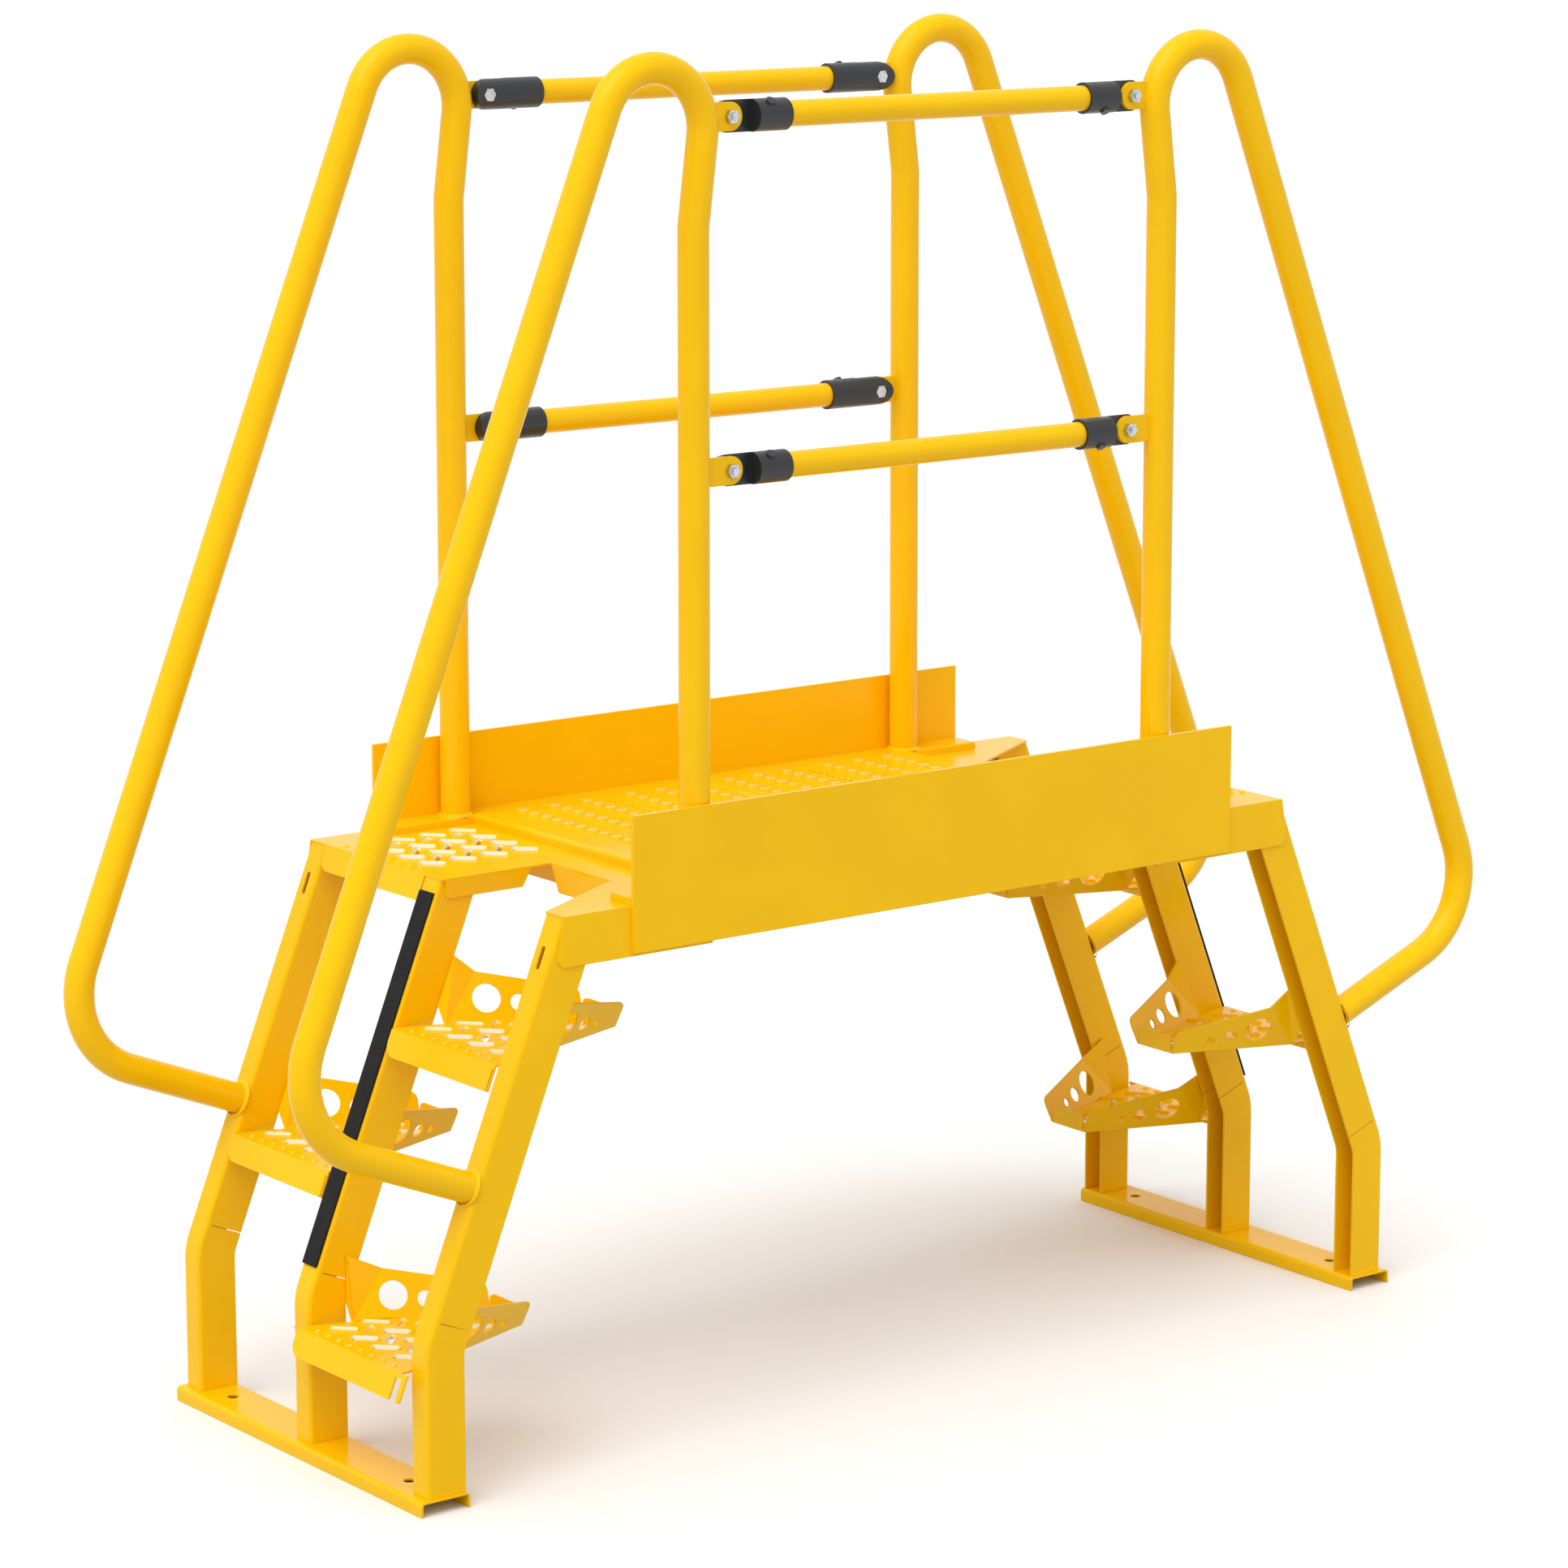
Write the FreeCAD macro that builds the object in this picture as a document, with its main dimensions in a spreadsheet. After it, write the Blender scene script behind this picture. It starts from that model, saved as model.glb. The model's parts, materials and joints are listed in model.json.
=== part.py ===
"""Crossover platform with two alternating-tread flights.

Lengths are in millimetres. +X runs in the crossing direction, +Z is up, and the origin
is the centre of the footprint on the floor. The left end lies at -X. The right end is
the left end turned half a turn about Z, so every end piece has one builder.
"""

import math
import os

import FreeCAD
import Part
import Sketcher

V = FreeCAD.Vector


class Size:
    """A length or ratio held as a number and as the expression that gives it."""

    def __init__(self, value, text):
        self.value = float(value)
        self.text = text

    def _join(self, other, sign, value):
        other = as_size(other)
        return Size(value, "(%s %s %s)" % (self.text, sign, other.text))

    def __add__(self, other):
        return self._join(other, "+", self.value + as_size(other).value)

    def __radd__(self, other):
        return as_size(other) + self

    def __sub__(self, other):
        return self._join(other, "-", self.value - as_size(other).value)

    def __rsub__(self, other):
        return as_size(other) - self

    def __mul__(self, other):
        return self._join(other, "*", self.value * as_size(other).value)

    def __rmul__(self, other):
        return as_size(other) * self

    def __truediv__(self, other):
        return self._join(other, "/", self.value / as_size(other).value)

    def __rtruediv__(self, other):
        return as_size(other) / self

    def __neg__(self):
        return Size(-self.value, "(-1 * %s)" % self.text)


def as_size(thing):
    """Returns a Size for a Size or a plain number."""
    if isinstance(thing, Size):
        return thing
    return Size(thing, "(%.10g)" % thing)


def sine(angle):
    """Returns the sine of a Size in degrees."""
    return Size(math.sin(math.radians(angle.value)), "sin(%s * 1 deg)" % angle.text)


def cosine(angle):
    """Returns the cosine of a Size in degrees."""
    return Size(math.cos(math.radians(angle.value)), "cos(%s * 1 deg)" % angle.text)


def root(thing):
    """Returns the square root of a Size."""
    return Size(math.sqrt(thing.value), "sqrt(%s)" % thing.text)


doc = FreeCAD.newDocument("crossover")
sheet = doc.addObject("Spreadsheet::Sheet", "Sizes")

# Driving sizes: alias, value, meaning.
DRIVING = [
    ("sheet_t", 3.0, "sheet thickness of stringers, treads and head plates"),
    ("bend_r", 6.0, "outside radius of the long folds"),
    ("slope_deg", 68.0, "slope of the flights above the floor"),
    ("head_z", 768.0, "top of the head plates"),
    ("head_x", 632.5, "front edge of a head plate from the centre"),
    ("rise", 193.7, "height from tread to tread"),
    ("stringer_w", 38.7, "width of a stringer"),
    ("stringer_d", 59.0, "depth of a stringer"),
    ("stringer_y", 285.0, "outer stringers from the centre line"),
    ("leg_x", 853.0, "front face of the upright feet from the centre"),
    ("leg_bend_r", 100.0, "radius of the bend above a foot"),
    ("channel_h", 20.2, "height of a floor channel"),
    ("channel_w", 76.0, "width of a floor channel"),
    ("channel_l", 617.2, "length of a floor channel"),
    ("channel_x", 828.0, "centre of a floor channel from the centre"),
    ("anchor_d", 16.0, "anchor hole"),
    ("anchor_y", 221.5, "anchor hole from the centre line"),
    ("tread_d", 252.0, "depth of a tread"),
    ("tread_c", 142.5, "half of the nose from the tread's middle to a stringer's middle"),
    ("nose_tab", 30.0, "width of the tab beside the slit of a nose"),
    ("nose_slit", 9.0, "width of the slit of a nose"),
    ("tread_taper_x", 15.6, "start of a tread's taper behind its nose"),
    ("tread_rear_hw", 39.0, "half width of a tread at its rear"),
    ("nose_drop", 34.0, "height of a nose"),
    ("nose_r", 20.0, "rounded lower corner of a nose"),
    ("lean_deg", 25.0, "outward lean of a tread's side flanges"),
    ("wing_u", 190.0, "length of a side flange along its fold, from the rear"),
    ("ridge_u", 142.0, "where a side flange turns into its wing, from the rear"),
    ("ridge_v", 68.0, "height of a side flange where it turns into its wing"),
    ("rear_v", 35.0, "height of a side flange at the rear"),
    ("rear_r", 13.0, "rounded rear corner of a side flange"),
    ("wing_low", 21.0, "lower corner of a wing above its tread"),
    ("wing_high", 86.0, "upper corner of a wing above its tread"),
    ("perf_pitch", 50.8, "pitch of the tread slots"),
    ("perf_first", 43.0, "first row of slots behind the nose"),
    ("slot_l", 38.0, "length of a tread slot"),
    ("slot_w", 9.5, "width of a tread slot"),
    ("head_in_x", 392.0, "inner end of a head plate from the centre"),
    ("head_side_z", 68.0, "height of a head plate's side flange"),
    ("plate_out_y", 307.3, "outside of the head plates from the centre line"),
    ("cross_x", 455.0, "cross flange of a head plate from the centre"),
    ("arm_y", 163.0, "end of the cross flange from the centre line"),
    ("deck_z", 782.0, "top of the deck planks"),
    ("plank_h", 64.0, "height of a deck plank"),
    ("plank_t", 2.0, "sheet thickness of a deck plank"),
    ("plank_w", 180.5, "width of an inner deck plank"),
    ("deck_hw", 260.0, "half length of the deck planks"),
    ("bar_h", 10.5, "height of the side bars above the head plates"),
    ("frame_x", 525.0, "ends of toe boards and side bars from the centre"),
    ("toe_t", 6.4, "thickness of a toe board"),
    ("toe_low_z", 705.0, "bottom of a toe board"),
    ("toe_top_z", 889.0, "top of a toe board"),
    ("tube_d", 42.2, "handrail tube"),
    ("tube_wall", 2.6, "wall of the handrail tube"),
    ("rail_y", 284.5, "plane of the handrails from the centre line"),
    ("post_x", 405.0, "foot of a post from the centre"),
    ("kink_x", 403.5, "kink of a post from the centre"),
    ("kink_z", 1646.0, "height of the kink"),
    ("loop_x", 468.0, "centre of the top loop from the centre"),
    ("loop_z", 1772.7, "height of the centre of the top loop"),
    ("loop_r", 80.0, "centreline radius of the top loop"),
    ("elbow_r", 120.0, "centreline radius of the lower elbow"),
    ("return_z", 423.6, "height where the return tube meets the stringer front"),
    ("guard_d", 34.9, "guard rail tube"),
    ("guard_wall", 2.3, "wall of a guard rail tube"),
    ("guard_top_z", 1786.5, "height of the top guard rail"),
    ("guard_mid_z", 1325.0, "height of the middle guard rail"),
    ("fitting_d", 43.0, "outside of an end fitting"),
    ("fitting_in_x", 256.0, "inner end of an end fitting from the centre"),
    ("fitting_cut_x", 309.0, "where the fitting's half tongue starts"),
    ("bolt_x", 345.3, "axis of the rail bolts from the centre"),
    ("lug_r", 19.0, "rounded end of a lug"),
    ("lug_t", 6.0, "thickness of a lug"),
    ("bolt_d", 10.0, "rail bolt"),
    ("head_seat", 13.5, "seat of a bolt head from the plane of the rails"),
    ("gap", 0.1, "clearance between pieces that touch"),
]

for row, (alias, value, meaning) in enumerate(DRIVING, start=1):
    sheet.set("A%d" % row, alias)
    sheet.set("B%d" % row, "%.10g" % value)
    sheet.set("C%d" % row, meaning)
    sheet.setAlias("B%d" % row, alias)
doc.recompute()


class Sizes:
    """The driving sizes by name."""


S = Sizes()
for alias, value, meaning in DRIVING:
    setattr(S, alias, Size(value, "Sizes.%s" % alias))

COT = cosine(S.slope_deg) / sine(S.slope_deg)
SIN = sine(S.slope_deg)
COS = cosine(S.slope_deg)


def front_x(z):
    """Returns the stringer line's distance from the centre at height z."""
    return S.head_x + (S.head_z - z) * COT


def bind(item, path, size):
    """Binds a property of an item to a size."""
    item.setExpression(path, size.text)


def origin_plane(body, role):
    """Returns one of the body's own origin planes or axes."""
    return [item for item in body.Origin.OriginFeatures if item.Role == role][0]


def new_body(name, turned=False, place=None, rolled=False):
    """Makes a body.

    Args:
        turned: half a turn about Z, for the right end.
        place: (x, y, z) of sizes, before the turn.
        rolled: half a turn about the body's own X.
    """
    body = doc.addObject("PartDesign::Body", name)
    body.Label = name
    set_place(body, turned, place, rolled)
    return body


def set_place(item, turned, place, rolled):
    """Places an item and binds where it stands to the sizes."""
    x, y, z = [as_size(value) for value in (place or (0.0, 0.0, 0.0))]
    spin = -1.0 if turned else 1.0
    turn = FreeCAD.Rotation(V(0, 0, 1), 180.0 if turned else 0.0)
    roll = FreeCAD.Rotation(V(1, 0, 0), 180.0 if rolled else 0.0)
    item.Placement = FreeCAD.Placement(
        V(spin * x.value, spin * y.value, z.value), turn * roll
    )
    if place is not None:
        bind(item, "Placement.Base.x", spin * x)
        bind(item, "Placement.Base.y", spin * y)
        bind(item, "Placement.Base.z", z)


def new_sketch(body, name, role, frame=None):
    """Makes a sketch on an origin plane of its body.

    Args:
        role: name of the origin plane.
        frame: optional (origin, x direction, y direction); the origin is three sizes.
    """
    sketch = body.newObject("Sketcher::SketchObject", name)
    sketch.AttachmentSupport = [(origin_plane(body, role), "")]
    sketch.MapMode = "FlatFace"
    if frame is not None:
        start, along, up = frame
        along = V(along).normalize()
        normal = along.cross(up).normalize()
        up = normal.cross(along)
        turn = FreeCAD.Rotation(along, up, normal, "XYZ")
        start = [as_size(value) for value in start]
        where = V(start[0].value, start[1].value, start[2].value)
        sketch.AttachmentOffset = FreeCAD.Placement(where, turn)
        for axis, value in zip("xyz", start):
            if "Sizes." in value.text:
                bind(sketch, "AttachmentOffset.Base.%s" % axis, value)
    return sketch


def pin(sketch, geo, end, x, y):
    """Fixes an end of a sketch line by its distances from the sketch's origin."""
    for kind, size in (("DistanceX", x), ("DistanceY", y)):
        size = as_size(size)
        if size.text.startswith("(") and abs(size.value) < 1e-9:
            onto = -2 if kind == "DistanceX" else -1
            sketch.addConstraint(Sketcher.Constraint("PointOnObject", geo, end, onto))
            continue
        number = sketch.addConstraint(
            Sketcher.Constraint(kind, -1, 1, geo, end, size.value)
        )
        if "Sizes." in size.text:
            sketch.setExpression("Constraints[%d]" % number, size.text)


def polygon(sketch, points):
    """Draws a closed outline.

    Args:
        points: corners as (x, y) or, where rounded, (x, y, radius).
    """
    count = len(points)
    ends = [V(as_size(p[0]).value, as_size(p[1]).value, 0) for p in points]
    round_of = [as_size(p[2]) if len(p) > 2 else None for p in points]
    cuts = []
    for index in range(count):
        corner = ends[index]
        if round_of[index] is None:
            cuts.append((corner, corner, None))
            continue
        back = (ends[index - 1] - corner).normalize()
        on = (ends[(index + 1) % count] - corner).normalize()
        half = back.getAngle(on) / 2.0
        radius = round_of[index].value
        reach = radius / math.tan(half)
        middle = (back + on).normalize()
        mid = corner + middle * (radius / math.sin(half) - radius)
        cuts.append((corner + back * reach, corner + on * reach, mid))
    lines = []
    for index in range(count):
        start = cuts[index][1]
        end = cuts[(index + 1) % count][0]
        lines.append(sketch.addGeometry(Part.LineSegment(start, end), False))
    for index, point in enumerate(points):
        before = lines[index - 1]
        after = lines[index]
        if round_of[index] is None:
            sketch.addConstraint(Sketcher.Constraint("Coincident", before, 2, after, 1))
            pin(sketch, after, 1, point[0], point[1])
            continue
        start, end, mid = cuts[index]
        bend = sketch.addGeometry(Part.Arc(start, mid, end), False)
        near = (sketch.getPoint(bend, 1) - start).Length < 1e-6
        one, two = (1, 2) if near else (2, 1)
        sketch.addConstraint(Sketcher.Constraint("Tangent", before, 2, bend, one))
        sketch.addConstraint(Sketcher.Constraint("Tangent", after, 1, bend, two))
        radius = round_of[index]
        number = sketch.addConstraint(Sketcher.Constraint("Radius", bend, radius.value))
        if "Sizes." in radius.text:
            sketch.setExpression("Constraints[%d]" % number, radius.text)
        mark = sketch.addGeometry(Part.Point(ends[index]), True)
        pin(sketch, mark, 1, point[0], point[1])
        sketch.addConstraint(Sketcher.Constraint("PointOnObject", mark, 1, before))
        sketch.addConstraint(Sketcher.Constraint("PointOnObject", mark, 1, after))


def circle(sketch, x, y, radius):
    """Draws a circle whose centre and radius follow the sizes."""
    x, y, radius = as_size(x), as_size(y), as_size(radius)
    geo = sketch.addGeometry(
        Part.Circle(V(x.value, y.value, 0), V(0, 0, 1), radius.value), False
    )
    pin(sketch, geo, 3, x, y)
    number = sketch.addConstraint(Sketcher.Constraint("Radius", geo, radius.value))
    if "Sizes." in radius.text:
        sketch.setExpression("Constraints[%d]" % number, radius.text)


def pad(body, name, sketch, length, middle=False, back=False):
    """Pads a sketch by a size."""
    feature = body.newObject("PartDesign::Pad", name)
    feature.Profile = sketch
    length = as_size(length)
    feature.Length = length.value
    feature.Midplane = middle
    feature.Reversed = back
    if "Sizes." in length.text:
        bind(feature, "Length", length)
    doc.recompute()
    return feature


def pocket(body, name, sketch, length=None, middle=False, back=False):
    """Cuts a sketch out of the body, right through when no length is given."""
    before = body.Shape.Volume
    feature = body.newObject("PartDesign::Pocket", name)
    feature.Profile = sketch
    feature.Midplane = middle
    feature.Reversed = back
    if length is None:
        feature.Type = "ThroughAll"
    else:
        length = as_size(length)
        feature.Length = length.value
        if "Sizes." in length.text:
            bind(feature, "Length", length)
    doc.recompute()
    if not body.Shape.Volume < before - 1e-3:
        raise RuntimeError("%s in %s cuts nothing" % (name, body.Label))
    return feature


def slab(body, name, frame, points, length, role="XY_Plane", middle=False, back=False):
    """Pads an outline drawn in a frame, as one leaf of folded sheet."""
    sketch = new_sketch(body, name + "_outline", role, frame)
    polygon(sketch, points)
    return pad(body, name, sketch, length, middle, back)


def edge_names(body, test):
    """Returns the names of the body's edges whose middle point passes a test."""
    names = []
    for number, edge in enumerate(body.Shape.Edges, start=1):
        local = body.Placement.inverse()
        low, high = edge.ParameterRange
        start = local.multVec(edge.valueAt(low))
        end = local.multVec(edge.valueAt(high))
        if test(start, end):
            names.append("Edge%d" % number)
    return names


def fillet(body, name, radius, test):
    """Rounds the edges that pass a test."""
    names = edge_names(body, test)
    if not names:
        raise RuntimeError("%s in %s finds no edge" % (name, body.Label))
    base = body.Tip
    feature = body.newObject("PartDesign::Fillet", name)
    feature.Base = (base, names)
    radius = as_size(radius)
    feature.Radius = radius.value
    if "Sizes." in radius.text:
        bind(feature, "Radius", radius)
    doc.recompute()
    return feature


def close(a, b, near=0.3):
    """Tells whether two numbers agree."""
    return abs(a - b) < near


def slot_outline(cx, cy, length, width, sign):
    """Returns the six corners of a pointed slot lying at 45 degrees.

    Args:
        cx, cy: centre of the slot.
        length, width: overall length and width.
        sign: +1 for a slot along (+1, +1), -1 for one along (+1, -1).
    """
    half = length / 2.0
    side = width / 2.0
    cut = half - side
    leg = as_size(math.sqrt(0.5))
    corners = [(half, 0.0), (cut, side), (-cut, side), (-half, 0.0), (-cut, -side), (cut, -side)]
    points = []
    for along, across in corners:
        along = as_size(along)
        across = as_size(across)
        points.append((cx + (along - sign * across) * leg, cy + (sign * along + across) * leg))
    return points


def slots(body, name, start_x, start_y, columns, rows, sign):
    """Cuts a grid of slots at the perforation pitch through the top leaf."""
    sketch = new_sketch(body, name + "_outline", "XY_Plane")
    polygon(sketch, slot_outline(start_x, start_y, S.slot_l, S.slot_w, sign))
    cut = pocket(body, name, sketch, 2.0 * S.sheet_t, middle=True)
    if columns * rows == 1:
        return cut
    pattern = body.newObject("PartDesign::LinearPattern", name + "_grid")
    pattern.Originals = [cut]
    pattern.Mode = "Spacing"
    pattern.Mode2 = "Spacing"
    first = "X_Axis" if rows > 1 else "Y_Axis"
    pattern.Direction = (origin_plane(body, first), [""])
    pattern.Occurrences = rows if rows > 1 else columns
    bind(pattern, "Offset", S.perf_pitch)
    if rows > 1 and columns > 1:
        pattern.Direction2 = (origin_plane(body, "Y_Axis"), [""])
        pattern.Occurrences2 = columns
        bind(pattern, "Offset2", S.perf_pitch)
    doc.recompute()
    body.Tip = pattern
    return pattern


# Floor channels and stringers.


def u_section(body, name, frame, width, depth, wall, role="XY_Plane"):
    """Draws a U of folded sheet: back on x = 0, legs towards +x, rounded folds."""
    sketch = new_sketch(body, name, role, frame)
    half = as_size(width) / 2.0
    in_r = S.bend_r - wall
    inner = half - wall
    polygon(sketch, [
        (depth, -half), (0.0, -half, S.bend_r), (0.0, half, S.bend_r), (depth, half),
        (depth, inner), (wall, inner, in_r), (wall, -inner, in_r), (depth, -inner),
    ])
    return sketch


def floor_channel(name, turned):
    """Builds a floor channel: U section, legs down, with two anchor holes."""
    body = new_body(name, turned, (-S.channel_x, 0.0, S.channel_h))
    # The section's x runs down and its y along the body's X.
    frame = ((0.0, 0.0, 0.0), V(0, 0, -1), V(1, 0, 0))
    section = u_section(body, "section", frame, S.channel_w, S.channel_h, S.sheet_t)
    pad(body, "channel", section, S.channel_l, middle=True)
    holes = new_sketch(body, "anchors_outline", "XY_Plane")
    circle(holes, 0.0, S.anchor_y, S.anchor_d / 2.0)
    circle(holes, 0.0, -S.anchor_y, S.anchor_d / 2.0)
    pocket(body, "anchors", holes, 4.0 * S.sheet_t, middle=True)
    return body


def stringer_side(back, front_in, low, high, radius):
    """Returns a side outline between two lines parallel to the stringer front.

    Args:
        back: far line's distance from the front, square to it.
        front_in: near line's distance from the front, square to it.
        low, high: heights of the ends.
        radius: bend radius of the front itself.
    """
    near = front_in / SIN
    far = back / SIN
    # The two legs of a line d inside the front meet at the knee.
    knee_near = S.head_z - (S.leg_x - front_in - S.head_x + near) / COT
    knee_far = S.head_z - (S.leg_x - back - S.head_x + far) / COT
    return [
        (-(S.leg_x - front_in), low),
        (-(S.leg_x - front_in), knee_near, radius - front_in),
        (-(front_x(high) - near), high),
        (-(front_x(high) - far), high),
        (-(S.leg_x - back), knee_far, radius - back),
        (-(S.leg_x - back), low),
    ]


def stringer(name, turned, y, slotted):
    """Builds a stringer: U section, back outwards, upright foot, bend, slope."""
    body = new_body(name, turned, (0.0, y, 0.0))
    none = as_size(0.0)
    low = S.channel_h + S.gap
    high = S.head_z - S.sheet_t - S.gap
    side = new_sketch(body, "side", "XZ_Plane")
    polygon(side, stringer_side(S.stringer_d, none, low, high, S.leg_bend_r))
    pad(body, "channel", side, S.stringer_w, middle=True)
    half = S.stringer_w.value / 2.0

    def front_edge(a, b):
        """Tells whether an edge runs up a side of the front."""
        beside = close(abs(a.y), half) and close(abs(b.y), half) and close(a.y, b.y)
        return beside and abs(a.z - b.z) > 5.0 and on_front(a) and on_front(b)

    fillet(body, "folds", S.bend_r, front_edge)
    # The hollow is open to the back and runs right through the ends.
    hollow = new_sketch(body, "hollow_outline", "XZ_Plane")
    polygon(hollow, stringer_side(
        2.0 * S.stringer_d - S.leg_bend_r * 0.3, S.sheet_t, low - 5.0, high + 5.0, S.leg_bend_r
    ))
    pocket(body, "hollow", hollow, S.stringer_w - 2.0 * S.sheet_t, middle=True)
    # The upper leaf of each side ends square to the slope, over the lower one.
    slit = new_sketch(body, "leaf_end_outline", "XZ_Plane")
    at_z = S.leg_bend_r * 0.36 + S.head_z - (S.leg_x - S.head_x) / COT
    start = S.stringer_d * 0.16
    stop = S.stringer_d * 1.2
    wide = 1.2
    polygon(slit, [
        (-front_x(at_z) + start * SIN, at_z - start * COS),
        (-front_x(at_z) + stop * SIN, at_z - stop * COS),
        (-front_x(at_z) + stop * SIN + wide * COS, at_z - stop * COS + wide * SIN),
        (-front_x(at_z) + start * SIN + wide * COS, at_z - start * COS + wide * SIN),
    ])
    pocket(body, "leaf_end", slit, 3.0 * S.stringer_w, middle=True)
    if slotted:
        # A short upright hole near the top of the back.
        centre_z = S.head_z - 55.0
        frame = (
            (-front_x(centre_z), 0.0, centre_z),
            V(0, 1, 0),
            V(COS.value, 0, SIN.value),
        )
        hole = new_sketch(body, "top_slot_outline", "XY_Plane", frame)
        polygon(hole, [
            (-4.0, -16.0, 3.9), (4.0, -16.0, 3.9), (4.0, 16.0, 3.9), (-4.0, 16.0, 3.9),
        ])
        pocket(body, "top_slot", hole, 4.0 * S.sheet_t, middle=True)
    return body


def on_front(point):
    """Tells whether a point lies on the front of a left stringer."""
    line = front_x(as_size(point.z)).value
    square = (line + point.x) * SIN.value
    leg = S.leg_x.value + point.x
    return min(abs(square), abs(leg)) < 1.0 and square > -1.0 and leg > -1.0


def strip(name, turned):
    """Builds the black strip on the front of a middle stringer."""
    body = new_body(name, turned)
    top = S.head_z - 19.0
    low = S.head_z - 504.0
    off = S.gap / SIN
    thick = 3.0 / SIN
    slab(body, "strip", None, [
        (-front_x(top) - off, top), (-front_x(low) - off, low),
        (-front_x(low) - off - thick, low), (-front_x(top) - off - thick, top),
    ], S.stringer_w - S.bend_r, role="XZ_Plane", middle=True)
    return body


# Treads and head plates.


def meet(planes):
    """Returns the point nearest the first plane's own point that lies in all planes.

    Args:
        planes: one to three (normal, point) pairs; fewer than three give the foot of
            the shortest way from the first point.
    """
    start = planes[0][1]
    if len(planes) == 3:
        (n1, p1), (n2, p2), (n3, p3) = planes
        down = n1.dot(n2.cross(n3))
        total = n2.cross(n3) * n1.dot(p1) + n3.cross(n1) * n2.dot(p2) + n1.cross(n2) * n3.dot(p3)
        return total / down
    if len(planes) == 2:
        (n1, p1), (n2, p2) = planes
        return meet([(n1, p1), (n2, p2), (n1.cross(n2).normalize(), start)])
    return start


def closed_solid(triangles):
    """Returns the solid inside a closed set of triangles."""
    faces = [Part.Face(Part.makePolygon([a, b, c, a])) for a, b, c in triangles]
    shell = Part.makeShell(faces)
    shell.sewShape()
    solid = Part.makeSolid(shell)
    if solid.Volume < 0:
        solid.reverse()
    return solid


def folded_side(hand, corner, along, up, lift, tip, toe, t):
    """Returns a tread's side: leaning flange, facet and wing, folded from one sheet.

    Args:
        hand: +1 for the side at +Y, -1 for the side at -Y.
        corner: rear lower corner of the outside.
        along: direction of the fold along the walking leaf, from the rear.
        up: direction up the flange.
        lift: height of the walking leaf's top above the corner, up the flange.
        tip, toe: upper and lower corner of the wing beside the stringer.
        t: sheet thickness.
    """
    rear_r = S.rear_r.value
    foot = corner + along * S.wing_u.value
    ridge = corner + along * S.ridge_u.value + up * (S.ridge_v.value + lift)
    # The rear upper corner is rounded in four steps.
    rim = []
    slope = math.atan2((S.ridge_v - S.rear_v).value, S.ridge_u.value)
    reach = rear_r * math.tan(math.radians(45) - slope / 2.0)
    centre = (rear_r, S.rear_v.value + lift - reach)
    for index in range(5):
        turn = math.pi - (math.pi / 2.0 - slope) * index / 4.0
        point = (centre[0] + rear_r * math.cos(turn), centre[1] + rear_r * math.sin(turn))
        rim.append(corner + along * point[0] + up * point[1])

    def outward(a, b, c):
        """Returns the unit normal of a facet on the tread's outer side."""
        normal = (b - a).cross(c - a).normalize()
        return normal if normal.y * hand > 0 else normal * -1.0

    n1 = outward(corner, foot, ridge)
    n2 = outward(foot, ridge, tip)
    n3 = outward(foot, tip, toe)
    flange = (n1, corner - n1 * t)
    facet = (n2, tip - n2 * t)
    wing = (n3, toe - n3 * t)
    rear_plane = (V(1, 0, 0), corner)
    floor_plane = (V(0, 0, 1), corner)
    in_corner = meet([flange, rear_plane, floor_plane])
    in_rim = [point - n1 * t for point in rim]
    in_ridge = meet([(n1, ridge - n1 * t), facet])
    in_foot = meet([flange, facet, wing])
    in_tip = meet([(n2, tip - n2 * t), wing])
    in_toe = toe - n3 * t
    outer = [corner, foot, ridge] + rim[::-1]
    inner = [in_corner, in_foot, in_ridge] + in_rim[::-1]
    triangles = []
    for index in range(1, len(outer) - 1):
        triangles.append((outer[0], outer[index], outer[index + 1]))
        triangles.append((inner[0], inner[index + 1], inner[index]))
    triangles.append((foot, tip, ridge))
    triangles.append((in_foot, in_ridge, in_tip))
    triangles.append((foot, toe, tip))
    triangles.append((in_foot, in_tip, in_toe))
    loop = [(corner, in_corner), (foot, in_foot), (toe, in_toe), (tip, in_tip), (ridge, in_ridge)]
    loop += list(zip(rim[::-1], in_rim[::-1]))
    for index, (a, in_a) in enumerate(loop):
        b, in_b = loop[(index + 1) % len(loop)]
        triangles.append((a, in_a, in_b))
        triangles.append((a, in_b, b))
    side = closed_solid(triangles)
    # Three holes of falling size towards the rear.
    for u, v, radius in ((130.0, 30.0, 20.0), (86.0, 21.0, 11.5), (56.0, 15.0, 7.0)):
        middle = corner + along * u + up * (v + lift)
        side = side.cut(Part.makeCylinder(radius, 6.0 * t, middle - n1 * (3.0 * t), n1))
    return side


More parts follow.
